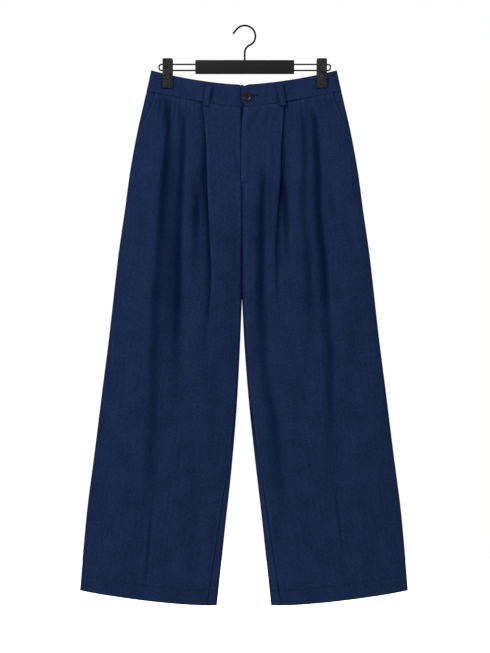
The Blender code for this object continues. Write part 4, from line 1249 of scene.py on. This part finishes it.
FLY_TURN_DROP = 268.0
straight = np.linspace(SEAM_DROP + 1, FLY_TURN_DROP, 40)
bend = np.linspace(0, math.pi / 2, 20)[1:]
turned_drops = FLY_TURN_DROP + (FLY_DROP - 5 - FLY_TURN_DROP) * np.sin(bend)
fly_drops = np.concatenate([straight, turned_drops])
fly_ways = np.concatenate([0 * straight + FLY_ROW, 2 + (FLY_ROW - 2) * np.cos(bend)])
fly_line = leg_surface(RIGHT, fly_drops, fly_ways, -0.55)
make_stitches("fly_stitches", [sewn(fly_line, TOWARDS[FRONT])])
make_stitches("pocket_stitches", [pocket_row(LEFT), pocket_row(RIGHT)])
make_stitches("hem_stitches_left", [hem_row(LEFT)])
make_stitches("hem_stitches_right", [hem_row(RIGHT)])

tack = leg_surface(RIGHT, FLY_DROP - 3, np.linspace(0.6, 13.0, 14), -0.7)[:, :3]
tack_down = np.tile([0.0, 0.0, -1.0], (len(tack), 1))
make_stitches("fly_bar_tack", [(tack, tack_down, TOWARDS[FRONT])], length=1.9, thick=0.85)

# %% [markdown]
# Each belt loop has two rows, close to its long edges. The buttonhole is a dense ring of threads that
# lie across the edge of a slit, and only the part that the button leaves free can be seen.

# %% Sewing on the waistband
LOOP_ROW_SHARES = np.linspace(0.02, 0.98, 40)
for loop in LOOPS:
    rows = []
    for offset in (-LOOP_STITCH, LOOP_STITCH):
        line = loop_surface(loop, LOOP_ROW_SHARES, offset + 0 * LOOP_ROW_SHARES)
        rows.append(sewn(line, TOWARDS[loop.face], 2.9))
    make_stitches(f"belt_loop_{loop.name}_stitches", rows, length=2.2)

BUTTON_X, BUTTON_DROP, BUTTON_RADIUS, BUTTON_THICK = 5.8, 140.4, 9.2, 3.0
HOLE_START, HOLE_END, HOLE_HALF = 2.0, 27.0, 1.5
turn = np.linspace(-math.pi / 2, math.pi / 2, 12)
edge = np.linspace(HOLE_START, HOLE_END, 30)
ring_ways = np.concatenate([edge, HOLE_END + HOLE_HALF * np.cos(turn), edge[::-1]])
ring_drops = HOLE_HALF * np.concatenate([0 * edge - 1, np.sin(turn), 0 * edge + 1]) + BUTTON_DROP
ring = band_surface(RIGHT, FRONT, ring_drops, ring_ways - CENTRE_LEAN)[:, :3]
middles, directions = along_line(ring, 0.62 * MM)
across = np.cross(directions, TOWARDS[FRONT])
make_stitches("buttonhole_stitches", [(middles, across, TOWARDS[FRONT])], length=1.7, thick=0.5)
slit = band_surface(RIGHT, FRONT, BUTTON_DROP, np.linspace(HOLE_START, HOLE_END, 12) - CENTRE_LEAN)
make_stitches("buttonhole_slit", [sewn(slit, TOWARDS[FRONT], 1.5)], length=1.9, thick=0.9)

# %% [markdown]
# The button is dark horn with a raised rim, a dished middle and four holes. Horn is layered, so its
# colour runs in bent streaks, and it is polished, which a clear coat shows best. Moulded plastic and
# painted wire share one more effect: faint marks of handling, which change only the gloss.

# %% Horn, plastic and wire
MARKS, entry, leave = start_group("handling_marks", {}, ("Tone",))
smear = noise(MARKS, entry.outputs["Vector"], 55.0, 3.0)
rub = noise(MARKS, entry.outputs["Vector"], 1.0, 2.0, (900, 900, 60))
MARKS.links.new(maths(MARKS, "MULTIPLY_ADD", rub, 0.4, maths(MARKS, "MULTIPLY", smear, 0.6)),
                leave.inputs["Tone"])

SPECKLE, entry, leave = start_group("moulded_speckle", {"Grains": 700.0}, ("Tone", "Height"))
whole = {"Vector": entry.outputs["Vector"], "Scale": entry.outputs["Grains"]}
grain = add_node(SPECKLE, "ShaderNodeTexNoise", {**whole, "Detail": 1.0}).outputs["Fac"]
spots = add_node(SPECKLE, "ShaderNodeTexVoronoi", whole)
SPECKLE.links.new(maths(SPECKLE, "MULTIPLY_ADD", grain, 2.4, -0.7), leave.inputs["Tone"])
SPECKLE.links.new(spots.outputs["Distance"], leave.inputs["Height"])


def moulded(name, dark, light, gloss, grains, relief, **shine):
    """A moulded or painted finish: speckled colour, fine grain and marks of handling."""
    material, tree, shader, coordinates = new_material(name)
    here = coordinates.outputs["Object"]
    tone = use(tree, SPECKLE, here, "Tone", Grains=grains)
    rubbed = maths(tree, "MULTIPLY_ADD", use(tree, MARKS, here, "Tone"), 0.3, gloss)
    set_sockets(shader, Base_Color=mix(tree, tone, (*dark, 1), (*light, 1)), Roughness=rubbed, **shine)
    bump(tree, shader, use(tree, SPECKLE, here, "Height", Grains=grains), relief)
    return material


BAR_FINISH = moulded("black_bar_plastic", (0.0108, 0.0108, 0.0112), (0.0155, 0.0155, 0.0158),
                     gloss=0.34, grains=900.0, relief=0.00003, Specular_IOR_Level=0.06)
CLIP_FINISH = moulded("charcoal_clip_plastic", (0.0030, 0.0030, 0.0030), (0.039, 0.0385, 0.0370),
                      gloss=0.42, grains=420.0, relief=0.00010, Specular_IOR_Level=0.05)
PAD_FINISH = moulded("clip_pad_rubber", (0.0105, 0.0090, 0.0095), (0.029, 0.0270, 0.0225),
                     gloss=0.50, grains=380.0, relief=0.00008, Specular_IOR_Level=0.05)
WIRE_FINISH = moulded("black_painted_wire", (0.0035, 0.0035, 0.0038), (0.0080, 0.0080, 0.0084),
                      gloss=0.24, grains=1200.0, relief=0.00002, Specular_IOR_Level=0.07,
                      Coat_Roughness=0.2, Coat_Weight=0.02)

HORN_FINISH, tree, shader, coordinates = new_material("dark_horn")
here = coordinates.outputs["Object"]
layers = {"Vector": here, "Scale": 95.0, "Distortion": 7.0, "Detail": 3.0, "Detail Scale": 2.0}
streaks = add_node(tree, "ShaderNodeTexWave", layers, bands_direction="DIAGONAL").outputs["Fac"]
HORN_DARK, HORN_LIGHT = (0.0032, 0.0024, 0.0024, 1), (0.0150, 0.0088, 0.0050, 1)
rubbed = maths(tree, "MULTIPLY_ADD", use(tree, MARKS, here, "Tone"), 0.25, 0.26)
set_sockets(shader, Base_Color=mix(tree, streaks, HORN_DARK, HORN_LIGHT), Roughness=rubbed,
            Specular_IOR_Level=0.16, Coat_Weight=0.08, Coat_Roughness=0.12)
bump(tree, shader, streaks, 0.00003, 0.4)
hard = (BAR_FINISH, CLIP_FINISH, PAD_FINISH, WIRE_FINISH, HORN_FINISH)
print("hard finishes:", [finish.name for finish in hard])

# %% [markdown]
# The hard pieces share a few steps. Faces are picked in edit mode by their normals, edges are rounded
# with a bevel that is applied, and a finished piece has its place in its mesh. It is then told what it
# rides on and which finish it has, and the solid it replaces is hidden.


# %% Helpers for hard pieces
def select_only(piece):
    bpy.ops.object.select_all(action="DESELECT")
    piece.select_set(True)
    bpy.context.view_layer.objects.active = piece


def bevel(piece, width, segments, sharper_than=30):
    """Rounds the edges that turn by more than an angle, in degrees."""
    rounding = piece.modifiers.new("rounding", "BEVEL")
    rounding.width, rounding.segments = width * MM, segments
    rounding.limit_method, rounding.angle_limit = "ANGLE", math.radians(sharper_than)
    bpy.ops.object.modifier_apply(modifier=rounding.name)


def inset_and_push(piece, towards, steps):
    """Insets the faces that look one way, and pushes them in, step by step."""
    bpy.ops.object.transform_apply(location=True, rotation=True, scale=True)
    bpy.ops.object.mode_set(mode="EDIT")
    bpy.ops.mesh.select_all(action="DESELECT")
    bpy.ops.object.mode_set(mode="OBJECT")
    for face in piece.data.polygons:
        face.select = face.normal.y * towards > 0.9
    bpy.ops.object.mode_set(mode="EDIT")
    bpy.ops.mesh.select_mode(type="FACE")
    for thickness, push in steps:
        bpy.ops.mesh.inset(thickness=thickness * MM)
        bpy.ops.transform.translate(value=(0, -towards * push * MM, 0))
    bpy.ops.object.mode_set(mode="OBJECT")


def finish_piece(piece, name, material, node=None):
    """Place in the mesh, a name, a finish and what it rides on; the solid it replaces is hidden."""
    select_only(piece)
    bpy.ops.object.transform_apply(location=True, rotation=True, scale=True)
    piece.name = piece.data.name = name
    piece.data.materials.clear()
    piece.data.materials.append(material)
    bpy.ops.object.shade_smooth_by_angle(angle=math.radians(40))
    piece.select_set(False)
    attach(piece, "root")
    if node:
        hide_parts(node)
    print(name, "faces:", len(piece.data.polygons))


print("helpers for hard pieces ready")

# %% [markdown]
# The button starts as a short cylinder in front of the waistband. Its front face is inset four times
# and pushed in for the rim and the dish, its rims are rounded with a bevel, and a thin cylinder cuts
# the four holes. Threads stand across the dish, from hole to hole.

# %% Button
BUTTON_PLACE = Vector((BUTTON_X + GARMENT_SHIFT, -(WAIST_DEPTH + 0.4 + BUTTON_THICK / 2), -BUTTON_DROP))
RIM_AND_DISH = ((0.9, 0.0), (1.3, 0.75), (1.2, 0.35), (2.4, 0.12))
HOLE_SPREAD, HOLE_RADIUS = 1.75, 0.85
QUARTER = math.radians(90)
bpy.ops.mesh.primitive_cylinder_add(vertices=64, radius=BUTTON_RADIUS * MM, depth=BUTTON_THICK * MM,
                                    location=BUTTON_PLACE * MM, rotation=(QUARTER, 0, 0))
button = bpy.context.object
inset_and_push(button, FRONT, RIM_AND_DISH)
bevel(button, 0.45, 4, 25)
button.select_set(False)
for x, z in [(x * HOLE_SPREAD, z * HOLE_SPREAD) for x in (-1, 1) for z in (-1, 1)]:
    bpy.ops.mesh.primitive_cylinder_add(
        vertices=20, radius=HOLE_RADIUS * MM, depth=8 * MM,
        location=(BUTTON_PLACE + Vector((x, 0, z))) * MM, rotation=(QUARTER, 0, 0))
    drill = bpy.context.object
    bored = button.modifiers.new("hole", "BOOLEAN")
    bored.object, bored.operation, bored.solver = drill, "DIFFERENCE", "EXACT"
    bpy.context.view_layer.objects.active = button
    bpy.ops.object.modifier_apply(modifier="hole")
    bpy.data.objects.remove(drill)
finish_piece(button, "horn_button", HORN_FINISH, "button")

in_dish = BUTTON_PLACE + Vector((0, 1.05 - BUTTON_THICK / 2, 0))
threads = np.array([in_dish + Vector((hole * HOLE_SPREAD + offset, 0, 0))
                    for hole in (-1, 1) for offset in (-0.3, 0.3)]) * MM
upright = np.tile([0.0, 0.0, 1.0], (len(threads), 1))
make_stitches("button_thread", [(threads, upright, TOWARDS[FRONT])], length=4.6, thick=0.55)

# %% [markdown]
# The hook and the two rails are bent steel wire, painted black. Each is a curve with a round bevel
# that follows the same bends as the solid, with more points so that the bends look round, and is
# then made a mesh. The hook's tip is rounded off by thinning its last few points.

# %% Hook and rails
HOOK_WIRE, HOOK_RADIUS, RAIL_WIRE = 3.9, 21.4, 3.2
BAR_LENGTH, BAR_TOP_DROP, BORE_DEPTH = 197.8, 67.5, 14.7
RAIL_DROPS, RAIL_END, RAIL_CORNER = (75.8, 87.9), 171.1, 4.6


def arc(centre, radius, start, stop, count):
    """Points round a centre, from one angle to another, in degrees."""
    angles = np.radians(np.linspace(start, stop, count))
    return [(centre[0] + radius * math.cos(a), centre[1] + radius * math.sin(a)) for a in angles]


def sweep(start, first, second, stop, count):
    """A cubic curve from start to stop, without its start."""
    t = np.linspace(0, 1, count)[1:, None]
    ends = np.array([start, first, second, stop])
    weights = np.hstack([(1 - t) ** 3, 3 * t * (1 - t) ** 2, 3 * t**2 * (1 - t), t**3])
    return [tuple(point) for point in weights @ ends]


def bend_wire(name, route, thick, node, tip=()):
    """A wire along a route in the hanger's plane, thinned at its start by the tip's shares."""
    curve = bpy.data.curves.new(name, "CURVE")
    curve.dimensions = "3D"
    curve.bevel_depth, curve.bevel_resolution = thick / 2 * MM, 6
    curve.use_fill_caps = True
    spline = curve.splines.new("POLY")
    spline.points.add(len(route) - 1)
    for i, (point, (x, z)) in enumerate(zip(spline.points, route)):
        point.co = (x * MM, 0, z * MM, 1)
        point.radius = tip[i] if i < len(tip) else 1.0
    wire = bpy.data.objects.new(name, curve)
    bpy.context.collection.objects.link(wire)
    select_only(wire)
    bpy.ops.object.convert(target="MESH")
    finish_piece(bpy.context.object, name, WIRE_FINISH, node)
    bpy.context.object.data.shade_smooth()


arch = arc((0, HOOK_WIRE / 2 - HOOK_RADIUS), HOOK_RADIUS, 148, -30, 72)
tip_end = np.array([-23.8, -14.8])
tip_way = np.array(arch[0]) - tip_end
tip_points = [tuple(tip_end + tip_way * share) for share in (0, 0.03, 0.08, 0.16, 0.3, 0.6)]
throat = sweep(arch[-1], (14.6, -36.0), (10.5, -36.4), (7.7, -38.6), 16)
neck = sweep((7.7, -38.6), (3.6, -41.6), (0.0, -45.5), (0.0, -52.0), 18)
stem = [(0.0, -BAR_TOP_DROP), (0.0, -BAR_TOP_DROP - BORE_DEPTH)]
bend_wire("hook_wire", tip_points + arch + throat + neck + stem, HOOK_WIRE, "hanger_hook",
          (0.35, 0.68, 0.87, 0.97))

foot, turn = BAR_LENGTH / 2 - BORE_DEPTH, RAIL_END - RAIL_CORNER
upper, lower = -RAIL_DROPS[0], -RAIL_DROPS[1]
bends = arc((turn, upper - RAIL_CORNER), RAIL_CORNER, 90, 0, 12)
bends += arc((turn, lower + RAIL_CORNER), RAIL_CORNER, 0, -90, 12)
route = [(foot, upper)] + bends + [(foot, lower)]
for side, word in SIDES:
    bend_wire(f"rail_wire_{word}", [(side * x, z) for x, z in route], RAIL_WIRE, f"rail_{word}")

# %% [markdown]
# The bar, the clips' jaws and their sliders have the right shape in the solids already. Each is copied,
# its loose triangles are merged and its flat faces made whole, so that a bevel can round its edges as
# a mould does. A rubber pad, pressed in at its middle, is set into the foot of each jaw.

# %% Bar and clips
def moulded_copy(node, name, material, width):
    """The node's own shape with rounded edges."""
    source = bpy.data.objects[node]
    piece = bpy.data.objects.new(name, source.data.copy())
    bpy.context.collection.objects.link(piece)
    select_only(piece)
    bpy.ops.object.mode_set(mode="EDIT")
    bpy.ops.mesh.select_all(action="SELECT")
    bpy.ops.mesh.remove_doubles(threshold=0.00001)
    bpy.ops.mesh.normals_make_consistent(inside=False)
    bpy.ops.mesh.dissolve_limited(angle_limit=math.radians(2))
    bpy.ops.object.mode_set(mode="OBJECT")
    bevel(piece, width, 3, 35)
    finish_piece(piece, name, material, node)
    return piece


moulded_copy("hanger_bar", "hanger_bar_moulded", BAR_FINISH, 0.5)
JAWS = []
PAD_WIDTH, PAD_THICK, PAD_TOP, PAD_FOOT, PAD_Y, PAD_TILT = 15.0, 0.9, 106.4, 119.6, 5.55, 1.5
for side, word in SIDES:
    for part, width in (("jaw_front", 0.55), ("jaw_back", 0.55), ("slider", 0.3)):
        node = f"clip_{word}_{part}"
        piece = moulded_copy(node, f"{node}_moulded", CLIP_FINISH, width)
        JAWS += [piece.name] if "jaw" in part else []
for side, word in SIDES:
    for face, face_word in ((FRONT, "front"), (BACK, "back")):
        middle = Vector((side * CLIP_X, face * PAD_Y, -(PAD_TOP + PAD_FOOT) / 2)) * MM
        bpy.ops.mesh.primitive_cube_add(
            size=1, location=middle, rotation=(face * math.radians(-PAD_TILT), 0, 0),
            scale=(PAD_WIDTH * MM, PAD_THICK * MM, (PAD_FOOT - PAD_TOP) * MM))
        pad = bpy.context.object
        inset_and_push(pad, face, ((1.1, 0.28),))
        bevel(pad, 0.22, 2)
        finish_piece(pad, f"clip_{word}_pad_{face_word}", PAD_FINISH)
print("jaws that hold the waistband:", JAWS)

# %% [markdown]
# The garment's cut is printed for every sheet: the size of the flat piece before it was sewn and hung.
# The cloth functions keep real lengths, so the width, the length and the area are measured over the
# cloth itself, pleats opened out, with the 30 mm that is turned up inside each hem.

# %% Cut of every sheet
SEWN_ON = {
    "front_right_cloth": ["fly_stitches", "fly_bar_tack"],
    "waistband_front_right_cloth": ["buttonhole_stitches", "buttonhole_slit"],
}
for name, (flat, area) in CUTS.items():
    extra = [bpy.data.objects[piece] for piece in SEWN_ON.get(name, [])]
    if name.startswith("belt_loop"):
        extra.append(bpy.data.objects[name.replace("_cloth", "_stitches")])
    print(name, "flat, mm:", [round(1000 * size) for size in flat], "area, cm2:", round(area * 1e4))

# %% [markdown]
# The picture was taken straight on from some way off, against white. The main soft lamp stands high at
# the viewer's left, so it grazes the cloth and every trough has a dark and a bright wall. A weaker
# one on the right keeps that wall from going black, and one behind lights the back. The dim
# surrounding fills the shadows, and the camera alone sees it as full white.

# %% Surroundings
world = bpy.data.worlds.new("studio")
bpy.context.scene.world = world
world.use_nodes = True
tree = world.node_tree
FILL, WHITE, AIM = 0.35, 1.0, Vector((0, 0, -0.1))
dim = tree.nodes["Background"]
dim.inputs["Color"].default_value = (0.97, 0.985, 1.0, 1)
dim.inputs["Strength"].default_value = FILL
bright = add_node(tree, "ShaderNodeBackground", {"Color": (1, 1, 1, 1), "Strength": WHITE})
ray = add_node(tree, "ShaderNodeLightPath").outputs["Is Camera Ray"]
both = add_node(tree, "ShaderNodeMixShader", {0: ray, 1: dim.outputs[0], 2: bright.outputs[0]})
tree.links.new(both.outputs[0], tree.nodes["World Output"].inputs["Surface"])

for name, spot, size, energy in (
    ("window_side_light", (-1.65, -1.75, 1.60), 1.0, 82),
    ("soft_right_light", (1.90, -2.40, 1.50), 1.8, 37),
    ("soft_back_light", (0.70, 2.60, 1.10), 2.2, 80),
):
    bpy.ops.object.light_add(type="AREA", location=spot)
    lamp = bpy.context.object
    lamp.name = name
    lamp.data.size, lamp.data.energy = size, energy
    lamp.rotation_euler = (AIM - lamp.location).to_track_quat("-Z", "Y").to_euler()

# %% [markdown]
# A pale floor lies well below the hems, where the picture has none. It gives light back from below,
# and to the camera alone it glows white, so that the ground stays as even as in the picture.

# %% Floor
FLOOR_SIZE, FLOOR_Z = 6, -1.42
bpy.ops.mesh.primitive_plane_add(size=FLOOR_SIZE, location=(0, 0, FLOOR_Z))
floor = bpy.context.object
floor.name = "floor"
floor_finish, tree, shader, coordinates = new_material("pale_floor")
fine = noise(tree, coordinates.outputs["Object"], 60.0, 3.0)
pale = mix(tree, fine, (0.90, 0.90, 0.90, 1), (0.94, 0.94, 0.94, 1))
seen = add_node(tree, "ShaderNodeLightPath").outputs["Is Camera Ray"]
set_sockets(shader, Base_Color=pale, Roughness=0.8, Specular_IOR_Level=0.1,
            Emission_Color=(1, 1, 1, 1), Emission_Strength=seen)
floor.data.materials.append(floor_finish)

# %% [markdown]
# The camera stands straight in front at 4 m with a long lens, which keeps the legs' edges straight,
# and its frame is 1.306 m high at the garment: that is the photograph's frame at 2 mm to the pixel.

# %% Camera
CAMERA_DISTANCE, FRAME_HEIGHT, SENSOR = 4.0, 1.306, 36
CAMERA_X, CAMERA_Z = 0.0005, -0.600
bpy.ops.object.camera_add(location=(CAMERA_X, -CAMERA_DISTANCE, CAMERA_Z), rotation=(QUARTER, 0, 0))
camera = bpy.context.object
camera.data.sensor_fit, camera.data.sensor_height = "VERTICAL", SENSOR
camera.data.lens = SENSOR * CAMERA_DISTANCE / FRAME_HEIGHT
bpy.context.scene.camera = camera
bpy.context.scene.view_settings.view_transform = "Standard"
print("lens, mm:", round(camera.data.lens, 1))
